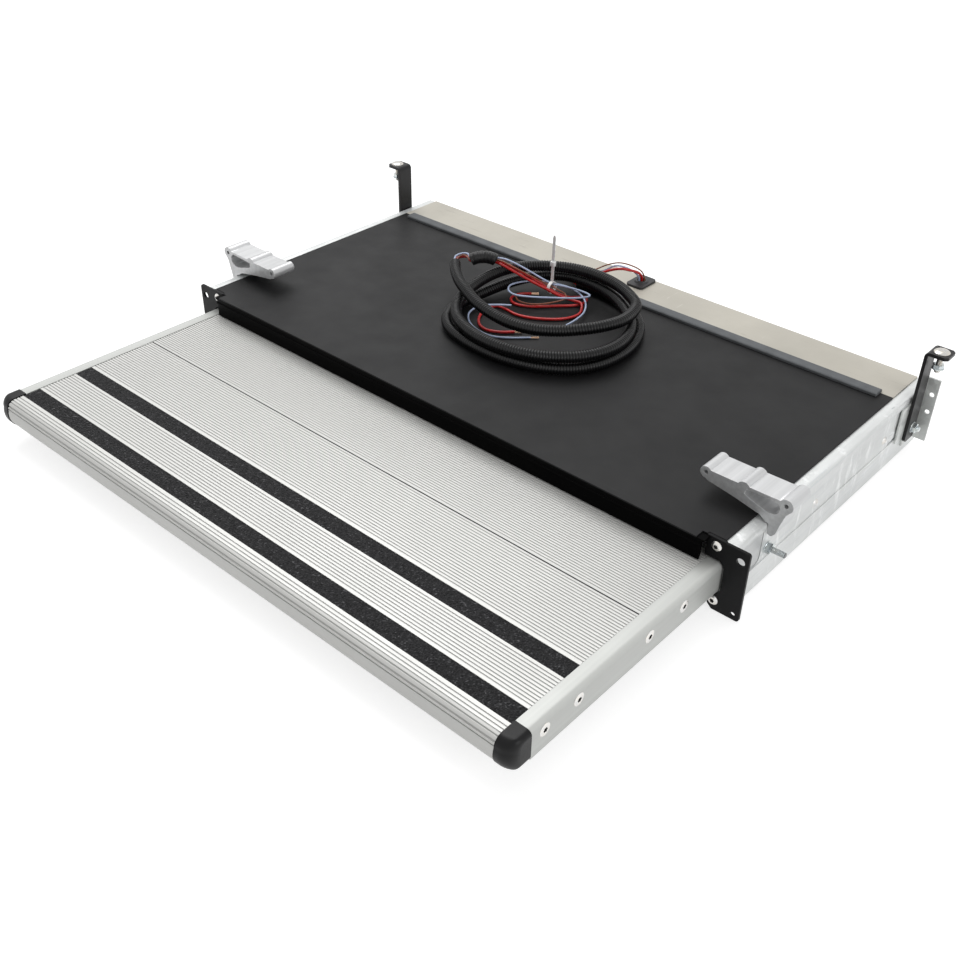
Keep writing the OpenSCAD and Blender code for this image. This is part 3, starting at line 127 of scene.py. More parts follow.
def add_math(tree, operation, first, second):
    """The output of a maths node on a socket and on a second socket or a number."""
    node = tree.nodes.new("ShaderNodeMath")
    node.operation = operation
    tree.links.new(first, node.inputs[0])
    if isinstance(second, bpy.types.NodeSocket):
        tree.links.new(second, node.inputs[1])
    else:
        node.inputs[1].default_value = second
    return node.outputs["Value"]


class Finish:
    """A node material, with short calls for what most finishes need."""

    def __init__(self, name, colour, roughness, metallic=0.0, specular=0.5):
        self.material = bpy.data.materials.new(name)
        self.material.use_nodes = True
        self.tree = self.material.node_tree
        self.shader = self.tree.nodes["Principled BSDF"]
        for socket, value in (("Base Color", (*colour, 1)), ("Roughness", roughness),
                              ("Metallic", metallic), ("Specular IOR Level", specular)):
            self.shader.inputs[socket].default_value = value
        self.colour = colour
        self.height = None

    def feed(self, value, socket):
        self.tree.links.new(value, self.shader.inputs[socket])

    def place(self, stretch=(1, 1, 1)):
        """Object coordinates in metres, scaled along each axis."""
        where = add_node(self.tree, "TexCoord", "Object")
        return add_node(self.tree, "Mapping", "Vector", Vector=where, Scale=stretch)

    def noise(self, scale, stretch=(1, 1, 1), detail=3.0, rough=0.5):
        return add_node(self.tree, "TexNoise", "Fac", Vector=self.place(stretch), Scale=scale,
                        Detail=detail, Roughness=rough)

    def cells(self, scale, output="Distance"):
        return add_node(self.tree, "TexVoronoi", output, Vector=self.place(), Scale=scale)

    def marks(self, name):
        """A value that mark_points keeps at each point of the mesh."""
        return add_node(self.tree, "Attribute", "Fac", {"attribute_name": name})

    def ranged(self, value, low, high, start, end):
        return add_node(self.tree, "MapRange", "Result", Value=value, From_Min=start, From_Max=end,
                        To_Min=low, To_Max=high)

    def shade(self, value, low, high, start=0.3, end=0.7):
        """The base colour times low to high, as value goes from start to end."""
        self.tint(value, [c * low for c in self.colour], [c * high for c in self.colour], start, end)

    def tint(self, value, first, second, start=0.3, end=0.7):
        """The base colour from first to second, as value goes from start to end."""
        self.mix(value, (*first, 1), second, start, end)

    def over(self, value, colour, start, end):
        """A second colour laid over the first where value is high."""
        self.mix(value, self.shader.inputs["Base Color"].links[0].from_socket, colour, start, end)

    def mix(self, value, first, second, start, end):
        share = self.ranged(value, 0, 1, start, end)
        mixed = add_node(self.tree, "Mix", "Result", {"data_type": "RGBA"}, Factor=share,
                         A=first, B=(*second, 1))
        self.feed(mixed, "Base Color")

    def gloss(self, value, low, high, start=0.3, end=0.7):
        self.feed(self.ranged(value, low, high, start, end), "Roughness")

    def bump(self, value, depth, strength=1.0):
        """Relief, on top of any relief so far."""
        below = {"Normal": self.height} if self.height else {}
        self.height = add_node(self.tree, "Bump", "Normal", Height=value, Distance=depth,
                               Strength=strength, **below)
        self.feed(self.height, "Normal")


def ribbed_tread():
    """Silver anodised tread: pale rib tops, painted shade in the grooves, and near-black painted shadow in
    the seam.
    """
    finish = Finish("tread_anodised", (0.80, 0.80, 0.775), 0.42, metallic=0.3)
    painted_shade = finish.marks("painted_shade")
    # Painted shade: darker towards the bottom of each groove.
    finish.tint(painted_shade, (0.62, 0.62, 0.6), (0.41, 0.41, 0.4), 0, 1)
    wear = finish.noise(1, (3, 40, 1), detail=5, rough=0.6)
    finish.over(wear, (0.59, 0.59, 0.575), 0.62, 0.95)
    # Near-black painted shadow down the seam gap, where the mark is above 1.
    finish.over(painted_shade, (0.02, 0.02, 0.02), 1.1, 1.9)
    finish.gloss(finish.noise(9), 0.38, 0.48)
    finish.bump(finish.noise(1, (5, 160, 160), detail=2), 0.00002, 0.4)
    return finish.material


def anodised(name, colour, along, roughness=0.36, metallic=0.45):
    """Silver anodised profile, with fine die lines along the extrusion."""
    finish = Finish(name, colour, roughness, metallic=metallic)
    fine = [900] * 3
    fine[along] = 4
    coarse = [160] * 3
    coarse[along] = 2
    finish.shade(finish.noise(1, coarse, detail=2), 0.94, 1.04)
    finish.gloss(finish.noise(9), roughness - 0.04, roughness + 0.07)
    finish.bump(finish.noise(1, fine, detail=4, rough=0.6), 0.00006, 0.5)
    return finish.material


def coated(name, colour, roughness, grain=1400, depth=0.00008, specular=0.5):
    """Powder coat, with the fine orange peel of baked powder."""
    finish = Finish(name, colour, roughness, specular=specular)
    finish.shade(finish.noise(30), 0.85, 1.2)
    finish.gloss(finish.noise(60, detail=5), roughness - 0.06, roughness + 0.08)
    finish.bump(finish.noise(grain, detail=2), depth, 0.6)
    return finish.material


def moulded(name, colour, roughness, grain=2600, depth=0.00005, specular=0.5):
    """Injection-moulded plastic, with an eroded grain and faint flow marks."""
    finish = Finish(name, colour, roughness, specular=specular)
    finish.shade(finish.noise(14, detail=4), 0.88, 1.12)
    finish.gloss(finish.noise(45), roughness - 0.05, roughness + 0.06)
    finish.bump(finish.cells(grain), depth, 0.5)
    return finish.material


def zinc_plated(name, colour, roughness=0.3):
    """Zinc plate: bright metal with cloudy passivation, and painted shade where the mesh marks it."""
    finish = Finish(name, colour, roughness, metallic=0.9)
    warm = [colour[0] * 1.05, colour[1] * 0.99, colour[2] * 0.9]
    finish.tint(finish.noise(220, detail=4), [c * 0.86 for c in colour], warm)
    # Painted shade in screw recesses, round head rims and in thread valleys.
    finish.over(finish.marks("painted_shade"), (0.012, 0.012, 0.012), 0, 1)
    finish.gloss(finish.noise(700), roughness - 0.08, roughness + 0.14)
    finish.bump(finish.noise(2400), 0.00003, 0.4)
    return finish.material


def galvanised(name, colour):
    """Galvanised sheet with its spangle."""
    finish = Finish(name, colour, 0.42, metallic=0.6)
    spangle = finish.cells(190, "Color")
    finish.shade(spangle, 0.82, 1.06, 0, 1)
    finish.gloss(spangle, 0.34, 0.52, 0, 1)
    finish.bump(finish.noise(900), 0.00004, 0.5)
    return finish.material


def make_materials():
    """Every finish, by the record's slot or a name of its own."""
    return {
        "tread": ribbed_tread(),
        "rail": anodised("rail_anodised", (0.54, 0.55, 0.53), 1, 0.42, 0.25),
        "cross_rail": anodised("cross_anodised", (0.72, 0.72, 0.70), 0, 0.36),
        "cap": moulded("cap_black", (0.006, 0.006, 0.0065), 0.36, specular=0.2),
        # The lip's near-black colour is its black plastic plus painted shade under the cover's front edge.
        "lip": moulded("lip_black_and_shade", (0.0015, 0.0015, 0.0015), 0.42, specular=0.025),
        "plate": coated("plate_black", (0.006, 0.006, 0.0065), 0.42, specular=0.13),
        "strap": coated("strap_black", (0.008, 0.0075, 0.008), 0.4, 1100, specular=0.28),
        "motor": coated("motor_dark", (0.022, 0.022, 0.024), 0.35),
        "rubber": moulded("grommet_rubber", (0.016, 0.016, 0.018), 0.5, 3200),
        "sleeve": moulded("sleeve_tape", (0.008, 0.008, 0.0085), 0.4, 1500, 0.0001, specular=0.3),
        "conduit": moulded("conduit_black", (0.004, 0.004, 0.0045), 0.3, 3000, 0.00003, specular=0.3),
        "guide": anodised("guide_metal", (0.54, 0.55, 0.55), 1, 0.42, 0.3),
        "block": moulded("acetal_white", (0.78, 0.78, 0.73), 0.4, 1800, 0.00002),
        "nut": moulded("acetal_ivory", (0.74, 0.7, 0.58), 0.36, 1800, 0.00002),
        "tie": moulded("nylon_white", (0.93, 0.93, 0.92), 0.42, 1800, 0.00003),
        "screws": zinc_plated("screw_steel", (0.8, 0.81, 0.82), 0.24),
        "zinc": zinc_plated("nut_zinc", (0.62, 0.68, 0.72), 0.2),
        "pad": zinc_plated("pad_nickel", (0.66, 0.66, 0.65), 0.2),
        "spindle": zinc_plated("spindle_steel", (0.55, 0.56, 0.57), 0.25),
        "rivet": zinc_plated("rivet_aluminium", (0.66, 0.67, 0.68), 0.36),
        "track": galvanised("track_zinc", (0.62, 0.64, 0.65)),
        "folded": galvanised("sheet_zinc", (0.6, 0.62, 0.62)),
        "angle": galvanised("angle_zinc", (0.64, 0.655, 0.64)),
        "cover": cover_sheet(),
        "rear": rear_sheet(),
        "seal": sponge_rubber(),
        "grip": grit(),
        "bracket": sawn_aluminium(),
        "channel": mill_channel(),
        "castgrey": cast(),
        "red": insulation("wire_red", (0.5, 0.012, 0.012)),
        "brown": insulation("wire_brown", (0.24, 0.068, 0.024)),
        "blue": insulation("wire_blue", (0.42, 0.5, 0.68)),
        "copper": copper(),
    }


def cover_sheet():
    """Charcoal film on sheet metal: fine even grain with a few faint scuffs."""
    finish = Finish("cover_charcoal", (0.0095, 0.0095, 0.01), 0.5, specular=0.175)
    finish.shade(finish.noise(7, detail=5), 0.9, 1.12)
    scuffs = finish.noise(1, (6, 120, 1), detail=6, rough=0.7)
    finish.over(scuffs, (0.034, 0.034, 0.036), 0.66, 0.8)
    finish.gloss(finish.noise(26, detail=5), 0.44, 0.56)
    finish.bump(finish.cells(1900), 0.00007, 0.6)
    return finish.material


def rear_sheet():
    """Beige-grey coated sheet with handling marks."""
    finish = Finish("rear_beige", (0.50, 0.475, 0.415), 0.44, specular=0.26)
    finish.shade(finish.noise(11, detail=5), 0.9, 1.07)
    rubs = finish.noise(1, (14, 150, 1), detail=7, rough=0.75)
    finish.over(rubs, (0.36, 0.335, 0.29), 0.6, 0.72)
    pale = finish.noise(1, (220, 18, 1), detail=6, rough=0.7)
    finish.over(pale, (0.66, 0.64, 0.59), 0.64, 0.78)
    finish.gloss(finish.noise(40, detail=4), 0.36, 0.56)
    finish.bump(finish.noise(1500), 0.00005, 0.5)
    return finish.material


def sponge_rubber():
    finish = Finish("seal_sponge", (0.11, 0.116, 0.122), 0.72, specular=0.32)
    finish.shade(finish.noise(60, detail=4), 0.85, 1.15)
    finish.bump(finish.noise(1700, detail=4), 0.00018, 0.8)
    return finish.material


def grit():
    """Anti-slip tape: dark mineral grains of about a millimetre, with painted glints on some of them."""
    finish = Finish("grip_grit", (0.02, 0.02, 0.022), 0.6, specular=0.19)
    grain = finish.marks("grain")
    finish.tint(grain, (0.001, 0.001, 0.0013), (0.012, 0.012, 0.0135), 0.1, 0.85)
    # Painted highlight: the palest grains get a light colour as glints.
    finish.over(grain, (0.13, 0.13, 0.135), 0.8, 1)
    finish.gloss(finish.cells(1400, "Color"), 0.35, 0.9, 0, 1)
    finish.bump(finish.noise(1500, detail=4), 0.0003, 0.7)
    return finish.material


def sawn_aluminium():
    """Mill-finish extrusion whose cut ends show the saw."""
    finish = Finish("bracket_aluminium", (0.61, 0.615, 0.62), 0.38, metallic=0.45)
    finish.shade(finish.noise(1, (240, 4, 240)), 0.86, 1.05)
    finish.gloss(finish.noise(1, (900, 6, 900)), 0.28, 0.44)
    finish.bump(finish.noise(1, (1100, 8, 1100), detail=4), 0.00008, 0.6)
    return finish.material


def mill_channel():
    """Mill-finish channel: die streaks, cloudy patches, and scratches from handling."""
    finish = Finish("channel_mill", (0.74, 0.755, 0.75), 0.42, metallic=0.3)
    finish.shade(finish.noise(1, (60, 7, 26), detail=8, rough=0.7), 0.84, 1.1)
    streaks = finish.noise(1, (300, 5, 420), detail=5, rough=0.6)
    finish.over(streaks, (0.62, 0.64, 0.645), 0.54, 0.7)
    smears = finish.noise(1, (50, 60, 14), detail=7, rough=0.75)
    finish.over(smears, (0.95, 0.96, 0.96), 0.54, 0.68)
    scratches = finish.noise(1, (90, 22, 900), detail=6, rough=0.7)
    finish.over(scratches, (0.36, 0.38, 0.39), 0.66, 0.74)
    finish.gloss(finish.noise(30, detail=5), 0.3, 0.52)
    finish.bump(finish.noise(1, (900, 4, 900), detail=4), 0.00008, 0.6)
    finish.bump(finish.noise(70, detail=4), 0.0004, 0.4)
    return finish.material


def cast():
    finish = Finish("gearbox_cast", (0.27, 0.275, 0.28), 0.5, metallic=0.6)
    finish.shade(finish.noise(80, detail=5), 0.8, 1.15)
    finish.bump(finish.noise(700, detail=5), 0.0002, 0.7)
    return finish.material


def insulation(name, colour):
    """Extruded wire insulation, slightly waxy."""
    finish = Finish(name, colour, 0.3)
    finish.shade(finish.noise(90), 0.85, 1.12)
    finish.gloss(finish.noise(400), 0.24, 0.4)
    finish.bump(finish.noise(1200), 0.00003, 0.4)
    return finish.material


def copper():
    finish = Finish("copper_strands", (0.8, 0.55, 0.38), 0.3, metallic=0.95)
    finish.shade(finish.noise(1500), 0.75, 1.1)
    finish.bump(finish.noise(3000), 0.00003, 0.5)
    return finish.material


materials = make_materials()


# Making pieces
def dress(piece, body, slot, *nodes, material=None):
    """Gives a piece its material, slot and body, and the nodes it stands for."""
    piece.data.materials.clear()
    piece.data.materials.append(materials[material or slot])
    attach(piece, body)
    if nodes:
        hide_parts(*nodes)


def mesh_object(name, points, faces, smooth_below=40):
    mesh = bpy.data.meshes.new(name)
    mesh.from_pydata([tuple(p) for p in points], [], faces)
    mesh.update()
    return smoothed(add_object(name, mesh), smooth_below)


def smoothed(piece, below=40):
    """Smooth shading, but for edges sharper than an angle."""
    piece.data.polygons.foreach_set("use_smooth", [True] * len(piece.data.polygons))
    piece.data.set_sharp_from_angle(angle=math.radians(below))
    return piece


def mark_points(piece, name, values):
    """Keeps a value at each point of a mesh, which its material reads by name."""
    marks = piece.data.attributes.new(name, "FLOAT", "POINT")
    marks.data.foreach_set("value", values)


def turn_faces_out(piece):
    made = bmesh.new()
    made.from_mesh(piece.data)
    bmesh.ops.recalc_face_normals(made, faces=made.faces)
    made.to_mesh(piece.data)
    made.free()


class Shape:
    """Points and faces of a piece that is built up from rings of points."""

    def __init__(self):
        self.points, self.faces = [], []

    def join(self, rings, around):
        """Skin between the last rings, with the same number of points in each."""
        start = len(self.points) - rings * around
        for i in range(rings - 1):
            for k in range(around):
                a, b = start + i * around + k, start + i * around + (k + 1) % around
                self.faces.append((a, b, b + around, a + around))
        return start

    def close(self, start, around, flipped=False):
        """One face over the ring that begins at start."""
        corners = range(start, start + around)
        self.faces.append(tuple(reversed(corners) if flipped else corners))

    def close_ends(self, start, around):
        """The ring that begins at start and the last ring."""
        self.close(start, around)
        self.close(len(self.points) - around, around, flipped=True)

    def turned(self, place, outward, rings, around):
        """Rings about outward, each one (radius, height) or a list of them."""
        outward = Vector(outward).normalized()
        helper = Vector((0, 0, 1)) if abs(outward.z) < 0.9 else Vector((1, 0, 0))
        first = outward.cross(helper).normalized()
        second = outward.cross(first)
        for ring in rings:
            for k in range(around):
                radius, height = ring if isinstance(ring, tuple) else ring[k]
                a = 2 * math.pi * k / around
                across = radius * (math.cos(a) * first + math.sin(a) * second)
                self.points.append(place + across + height * outward)
        return self.join(len(rings), around)

    def tube(self, rings, sides):
        """Skin over rings of (centre, side, up, radius), open at both ends."""
        for centre, side, up, radius in rings:
            for k in range(sides):
                a = 2 * math.pi * k / sides
                self.points.append(centre + radius * (math.cos(a) * side + math.sin(a) * up))
        return self.join(len(rings), sides)

    def finish(self, name, body, slot, *nodes, smooth_below=32, material=None):
        piece = mesh_object(name, self.points, self.faces, smooth_below)
        dress(piece, body, slot, *nodes, material=material)
        return piece


# Routes. Each repeats the part's own points, in millimetres, with heights above
# the cover's top. The conduit's heights count layers above the lowest one.
cover_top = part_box("top_cover")[1][2] / MM
hose_radius = 6.5
hose_layer = 13.9
hose_rest = hose_radius + 0.2
hose_way = [
    (-140, 192, 2.108), (-125, 177, 2.094), (-105, 161.5, 2.065), (-84, 150, 1.978),
    (-60, 141, 1.748), (-33, 137, 1.504), (-6, 137.5, 1.388), (20, 143.5, 1.417), (43, 154.5, 1.59),
    (63, 170, 1.806), (77, 189, 1.935), (84, 211, 1.964), (82, 233, 1.964), (73, 253, 1.95),
    (56, 266, 1.95), (36, 276, 1.95), (12, 282, 1.95), (-14, 282.5, 1.95), (-38, 277.5, 1.921),
    (-60, 267, 1.863), (-80, 251, 1.777), (-94, 231.5, 1.647), (-101, 209, 1.46), (-102, 184, 1.245),
    (-97, 158, 1.058), (-85, 134.5, 0.971), (-66, 116, 0.957), (-41, 104, 0.957), (-15, 98.5, 0.957),
    (13, 99, 0.957), (42, 106.5, 0.957), (66, 120.5, 0.957), (86, 141.5, 0.957), (97, 168, 0.957),
    (98, 194, 0.957), (90, 219, 0.957), (75, 241, 0.957), (55, 259, 0.957), (31, 273.5, 0.957),
    (4, 283, 0.957), (-23, 286, 0.928), (-46, 283, 0.871), (-68, 271, 0.741), (-84, 251, 0.554),
    (-95, 227, 0.338), (-102, 201, 0.122), (-105.5, 174, 0.014), (-103, 149, 0), (-93, 128, 0),
    (-75, 112.5, 0), (-50, 103.5, 0), (-22, 99.5, 0), (7, 99.8, 0), (36, 105.5, 0), (62, 117, 0),
    (82, 134, 0), (95, 158, 0), (99.5, 185, 0), (97.5, 213, 0), (88, 240, 0), (72, 263, 0),
    (51, 280.5, 0), (26, 292.5, 0), (0, 298, 0), (-19, 299, 0), (-38, 297, 0)]


def spline(points, steps):
    """The part's own smooth route through the given points, in metres."""
    p = [Vector((x, y, z + cover_top)) for x, y, z in points]
    p = [2 * p[0] - p[1]] + p + [2 * p[-1] - p[-2]]
    route = []
    for a, b, c, d in zip(p, p[1:], p[2:], p[3:]):
        for k in range(steps):
            t = k / steps
            route.append(0.5 * (2 * b + (c - a) * t + (2 * a - 5 * b + 4 * c - d) * t ** 2
                                + (3 * b - a - 3 * c + d) * t ** 3))
    return [q * MM for q in route + [p[-2]]]


def shifted(points, off):
    return [tuple(a + b for a, b in zip(p, off)) for p in points]


# Tubes along a route
def frames_along(route):
    """Side and up directions at each point of a route."""
    found = []
    for i, p in enumerate(route):
        ahead = (route[min(i + 1, len(route) - 1)] - route[max(i - 1, 0)]).normalized()
        side = ahead.cross(Vector((0, 0, 1))).normalized()
        found.append((p, side, side.cross(ahead)))
    return found


def even_route(fine, step):
    """Points of a finely stepped route, a fixed distance apart."""
    route, walked = [fine[0]], 0.0
    for a, b in zip(fine, fine[1:]):
        walked += (b - a).length
        if walked >= step:
            route.append(b)
            walked -= step
    return route


def make_conduit():
    """Corrugated conduit: one rounded rib every 3 mm, and an open bore at each end."""
    rib_pitch = 0.003
    rings_per_rib = 4
    crest, valley, bore = hose_radius * MM, 0.0056, 0.0047
    rounding = 0.0002
    mouth_depth = 5 * rings_per_rib
    line = [(x, y, hose_rest + hose_layer * h) for x, y, h in hose_way]
    route = even_route(spline(line, 240), rib_pitch / rings_per_rib)
    along = frames_along(route)
    profile = (valley, crest - rounding, crest, crest - rounding)
    rings = [(*along[i], bore) for i in range(mouth_depth, 0, -rings_per_rib)]
    rings += [(*along[0], bore), (*along[0], valley)]
    rings += [(*f, profile[i % rings_per_rib]) for i, f in enumerate(along)]
    rings += [(*along[-1], valley), (*along[-1], bore)]
    rings += [(*along[-1 - i], bore) for i in range(rings_per_rib, mouth_depth, rings_per_rib)]
    shape = Shape()
    shape.tube(rings, 22)
    conduit = shape.finish("conduit_ribbed", "housing", "conduit", "harness_conduit", smooth_below=75)


wire_radius = {"red": 1.6, "brown": 0.8, "blue": 1.1}


def make_wire(node, colour, points, far_end):
    """One insulated wire, as a smooth round curve with capped ends, or bare copper at its far end."""
    radius = wire_radius[colour]
    route = spline(points, 6)
    name = node + "_wire"
    data = bpy.data.curves.new(name, "CURVE")
    data.dimensions = "3D"
    data.bevel_depth = radius * MM
    data.bevel_resolution = 4
    data.use_fill_caps = True
    line = data.splines.new("POLY")
    line.points.add(len(route) - 1)
    for place, p in zip(line.points, route):
        place.co = (*p, 1)
    line.use_smooth = True
    wire = add_object(name, data)
    dress(wire, "housing", colour, node)
    ends = [make_strands(name + "_strands", route, radius)] if far_end == "bare" else []


def make_strands(name, route, radius):
    """Bare copper at a wire's end: six strands laid round a seventh."""
    tip = route[-1]
    ahead = (route[-1] - route[-2]).normalized()
    side = ahead.cross(Vector((0, 0, 1))).normalized()
    up = side.cross(ahead)
    length, hidden = 0.009, 0.0005
    strand = radius * MM * 0.26
    around = radius * MM * 0.5
    turns, flare = 0.35, 0.5
    sides, steps = 6, 8
    shape = Shape()
    for n in range(7):
        out = 0.0 if n == 6 else around
        rings = []
        for i in range(steps + 1):
            t = i / steps
            a = 2 * math.pi * (n / 6 + turns * t)
            spread = out * (1 + flare * t * t)
            centre = tip + ahead * (t * length - hidden) + spread * (math.cos(a) * side + math.sin(a) * up)
            rings.append((centre, side, up, strand))
        shape.close_ends(shape.tube(rings, sides), sides)
    strands = mesh_object(name, shape.points, shape.faces)
    strands.data.materials.append(materials["copper"])
    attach(strands, "housing")
    return strands


def make_leads():
    """The three wires from the grommet over to the conduit's lower end."""
    into_hose = [(-34, 297.5, hose_rest), (-26, 298.35, hose_rest), (-18, 299, hose_rest)]
    make_wire("lead_red", "red", [
        (8, 361, 2), (8, 360, 9), (8, 352, 17), (5, 340, 23), (-3, 330, 26), (-15, 324, 22),
        (-30, 321, 13), (-46, 315, 7), (-53, 306, 5), (-46, 299, 5)]
        + shifted(into_hose, (0, 0, -2)), "object")
    make_wire("lead_brown", "brown", [
        (10.6, 363, 2), (10.8, 361, 10), (11, 353, 20), (6, 341, 28.8), (-6, 332, 32),
        (-20, 327, 26.8), (-37, 322, 16), (-54, 315, 11), (-63, 304, 10), (-50, 294.6, 9)]
        + shifted(into_hose, (0, -2, 1.6)), "object")
    make_wire("lead_blue", "blue", [
        (5.8, 358.6, 2), (5.6, 357.6, 9), (3, 349, 18), (-2, 338, 25.6), (-11, 330, 27.2),
        (-24, 325, 18.4), (-40, 320, 12), (-51, 313, 10.6), (-56, 305, 9.8), (-47, 300.5, 9.2)]
        + shifted(into_hose, (0, 1.4, 1.7)), "object")


# The taped sleeve: an arc over the bundle between two places. Its height and the
# height of the conduit's free end are counted in layers of the coil.
sleeve_from = (-123, 201)
sleeve_to = (-103, 220)
sleeve_middle = tuple((a + b) / 2 for a, b in zip(sleeve_from, sleeve_to))
sleeve_bend = 30
sleeve_radius = 7.5
sleeve_layers = 1.53
free_end_layers = 2.1
sleeve_half_angle = math.asin(math.dist(sleeve_from, sleeve_to) / 2 / sleeve_bend)
sleeve_low = 2 * hose_radius + 0.7 + sleeve_layers * hose_layer + sleeve_radius
sleeve_top = sleeve_low + sleeve_bend * (1 - math.cos(sleeve_half_angle))


def in_bundle(left, up, first=0):
    """A wire's way from inside the conduit to the sleeve's end, at its place in the bundle."""
    free = hose_rest + free_end_layers * hose_layer
    way = [(-120, 173.2, free), (-127.5, 180.3, free), (-135, 187.5, free + 0.1),
           (-142, 194.5, free + 0.7), (-145.3, 200.5, free + 2.1), (-142, 206, free + 4.1),
           (-135, 206.6, sleeve_low - 0.9), (*sleeve_from, sleeve_low),
           (*sleeve_middle, sleeve_top), (*sleeve_to, sleeve_low)]
    aside = [(-0.55, -0.55)] * 3 + [(-0.8, -0.5), (-1, 0.1), (-0.5, 0.9), (0.15, 1)] + [(-0.69, 0.72)] * 3
    rises = [up * 0.8] * 3 + [up] * 7
    return [(x + dx * left, y + dy * left, z + rise)
            for (x, y, z), (dx, dy), rise in zip(way, aside, rises)][first:]


def make_tails():
    """The loose wires: out of the conduit, through the sleeve, in loops on the cover."""
    make_wire("tail_red", "red", in_bundle(1.9, -2.1) + [
        (-93, 224, 40.2), (-82, 228, 36.5), (-70, 235, 30), (-58, 243.8, 21.5),
        (-46, 252.8, 12.6), (-37, 260, 6.6), (-29, 268, 2.6), (-22, 277, 2), (-16, 281, 2),
        (-10.5, 277, 2), (-8.5, 266, 2), (-14, 254, 2), (-25, 243, 2), (-36, 231, 2),
        (-47.5, 220, 2), (-58, 214, 2), (-68, 213, 2), (-76, 218, 2), (-79.5, 227, 2),
        (-76, 238, 2), (-68, 246, 2)], "bare")
    make_wire("tail_front", "red", in_bundle(-1.9, -2.1, 8) + [
        (-92, 219, 40), (-80, 221.6, 36.6), (-67, 228, 30), (-54, 237, 22), (-42, 246.4, 14.4),
        (-30, 253, 8.6), (-17, 259, 6), (-7, 260, 6), (0, 254, 4.4), (4.6, 243, 2), (2, 227, 2),
        (-9, 212.5, 2), (-28, 199, 2), (-47, 193, 2), (-64, 195, 2), (-77, 193, 2),
        (-80, 180, 2), (-75, 163, 2), (-63, 148, 2), (-48, 142.5, 2), (-33, 148.5, 2),
        (-21, 160, 2)], "bare")
    make_wire("tail_brown", "brown", in_bundle(-2.4, 1.3) + [
        (-91, 220, 44), (-79, 222.4, 40.6), (-66, 230, 34.5), (-55, 244.5, 23.4), (-46, 254, 16.4),
        (-36, 257, 13), (-27, 257.4, 10.6), (-22.6, 251, 8.8), (-29, 240, 6.6), (-40, 226, 5.4),
        (-52, 218, 5), (-64, 217, 5), (-72, 222, 5)], "bare")
    make_wire("tail_blue", "blue", in_bundle(1.2, 2.3) + [
        (-92, 226, 44.4), (-80, 232, 40), (-68, 241, 32), (-57, 249.5, 24), (-46, 256.5, 18.2),
        (-33, 261.5, 17.6), (-17, 266, 17), (-2, 267.5, 16), (1.5, 262.5, 15.6), (-9, 248, 15.4),
        (-30, 230, 15.4), (-47, 217, 15.4), (-63, 209, 15.6), (-76, 213, 15.8),
        (-82.5, 226, 15.8), (-76, 244, 15.6), (-61, 258.6, 15.4), (-46, 265.4, 15),
        (-30, 268.5, 14.4), (-12, 266, 12.6), (2, 258, 9), (11, 243, 6), (14, 224, 5),
        (12, 207, 3)], "bare")
    make_wire("tail_low", "blue", [
        (-60, 200, 6.4), (-72, 190, 6.6), (-85, 176, 6), (-88, 161, 3.4), (-80, 149, 1.6),
        (-65, 139.5, 1.4), (-46, 135, 1.4), (-30, 138, 1.4), (-15, 148.5, 1.4), (0, 163, 1.4)], "bare")


make_conduit()
make_leads()
make_tails()


# Finishes of the CAD nodes that no piece stands for
node_finish = {
    "rail": both("side_rail"),
    "cross_rail": ("rear_cross_member",),
    "block": (*both("slide_block"), "screw_bearing"),
    "screws": ("slide_block_screws", "nut_screws", "gearbox_screws"),
    "nut": ("drive_nut",),
    "spindle": ("lead_screw",),
    "track": both("slide_track"),
    "guide": both("front_guide"),
    "folded": ("front_cross_member", "motor_tray"),
    "castgrey": ("gearbox",),
    "motor": ("drive_motor",),
}
for name, nodes in node_finish.items():
    for node in nodes:
        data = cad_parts[node].data
        data.materials.clear()
        data.materials.append(materials[name])


# Places that several pieces share, in metres
tread_low, tread_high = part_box("tread_front_profile")
tread_left = tread_low[0] + 0.0012
tread_right = tread_high[0] - 0.0002
nose_y, tread_top = tread_low[1], tread_high[2]
contact = 0.0001


# Fasteners, drawn from rings of (radius, height) about their axis, in metres
m6_radius = 0.003
m6_bore = 0.0029
m6_pitch = 0.001
m6_flats = 0.010
washer_radius = 0.0062
washer_thick = 0.0012


def add_nut(shape, place, outward, height, bore):
    """M6 nut with chamfered corners and a countersunk bore, seated at place."""
    around = 48
    chamfer_from = m6_flats * 0.48
    edge, foot = [], []
    for k in range(around):
        turn = (360 * k / around + 30) % 60 - 30
        reach = m6_flats / 2 / math.cos(math.radians(turn))
        fall = max(0.0, reach - chamfer_from) * 0.5
        edge.append((reach, height - fall))
        foot.append((reach, fall * 0.6))
    shape.turned(place, outward, [
        (bore, 0), (bore, height - bore * 0.15), (bore * 1.15, height), (chamfer_from, height),
        edge, foot, (chamfer_from, 0), (bore, 0)], around)


def add_washer(shape, place, outward, bore, thick=washer_thick):
    soft = thick * 0.2
    shape.turned(place, outward, [
        (bore, 0), (bore, thick), (washer_radius - soft, thick), (washer_radius, thick - soft),
        (washer_radius, 0), (bore, 0)], 40)


def add_thread(shape, place, outward, radius, length):
    """M6 shank from place outward, with a chamfered, closed tip."""
    around, per_turn = 28, 6
    rows = int(length / m6_pitch * per_turn)
    depth = m6_pitch * 0.55
    rings = []
    for i in range(rows + 1):
        level = length * i / rows
        near_tip = max(0.0, (level - (length - m6_pitch)) / m6_pitch)
        ring = []
        for k in range(around):
            phase = (level / m6_pitch - k / around) % 1.0
            groove = 1 - abs(2 * phase - 1)
            ring.append((min(radius - depth * max(0.0, groove - 0.15), radius - depth * near_tip), level))
        rings.append(ring)
    rings.append(((radius - depth) * 0.8, length))
    shape.turned(place, outward, rings, around)
    shape.close(len(shape.points) - around, around)


head_around = 72
head_steps = 6


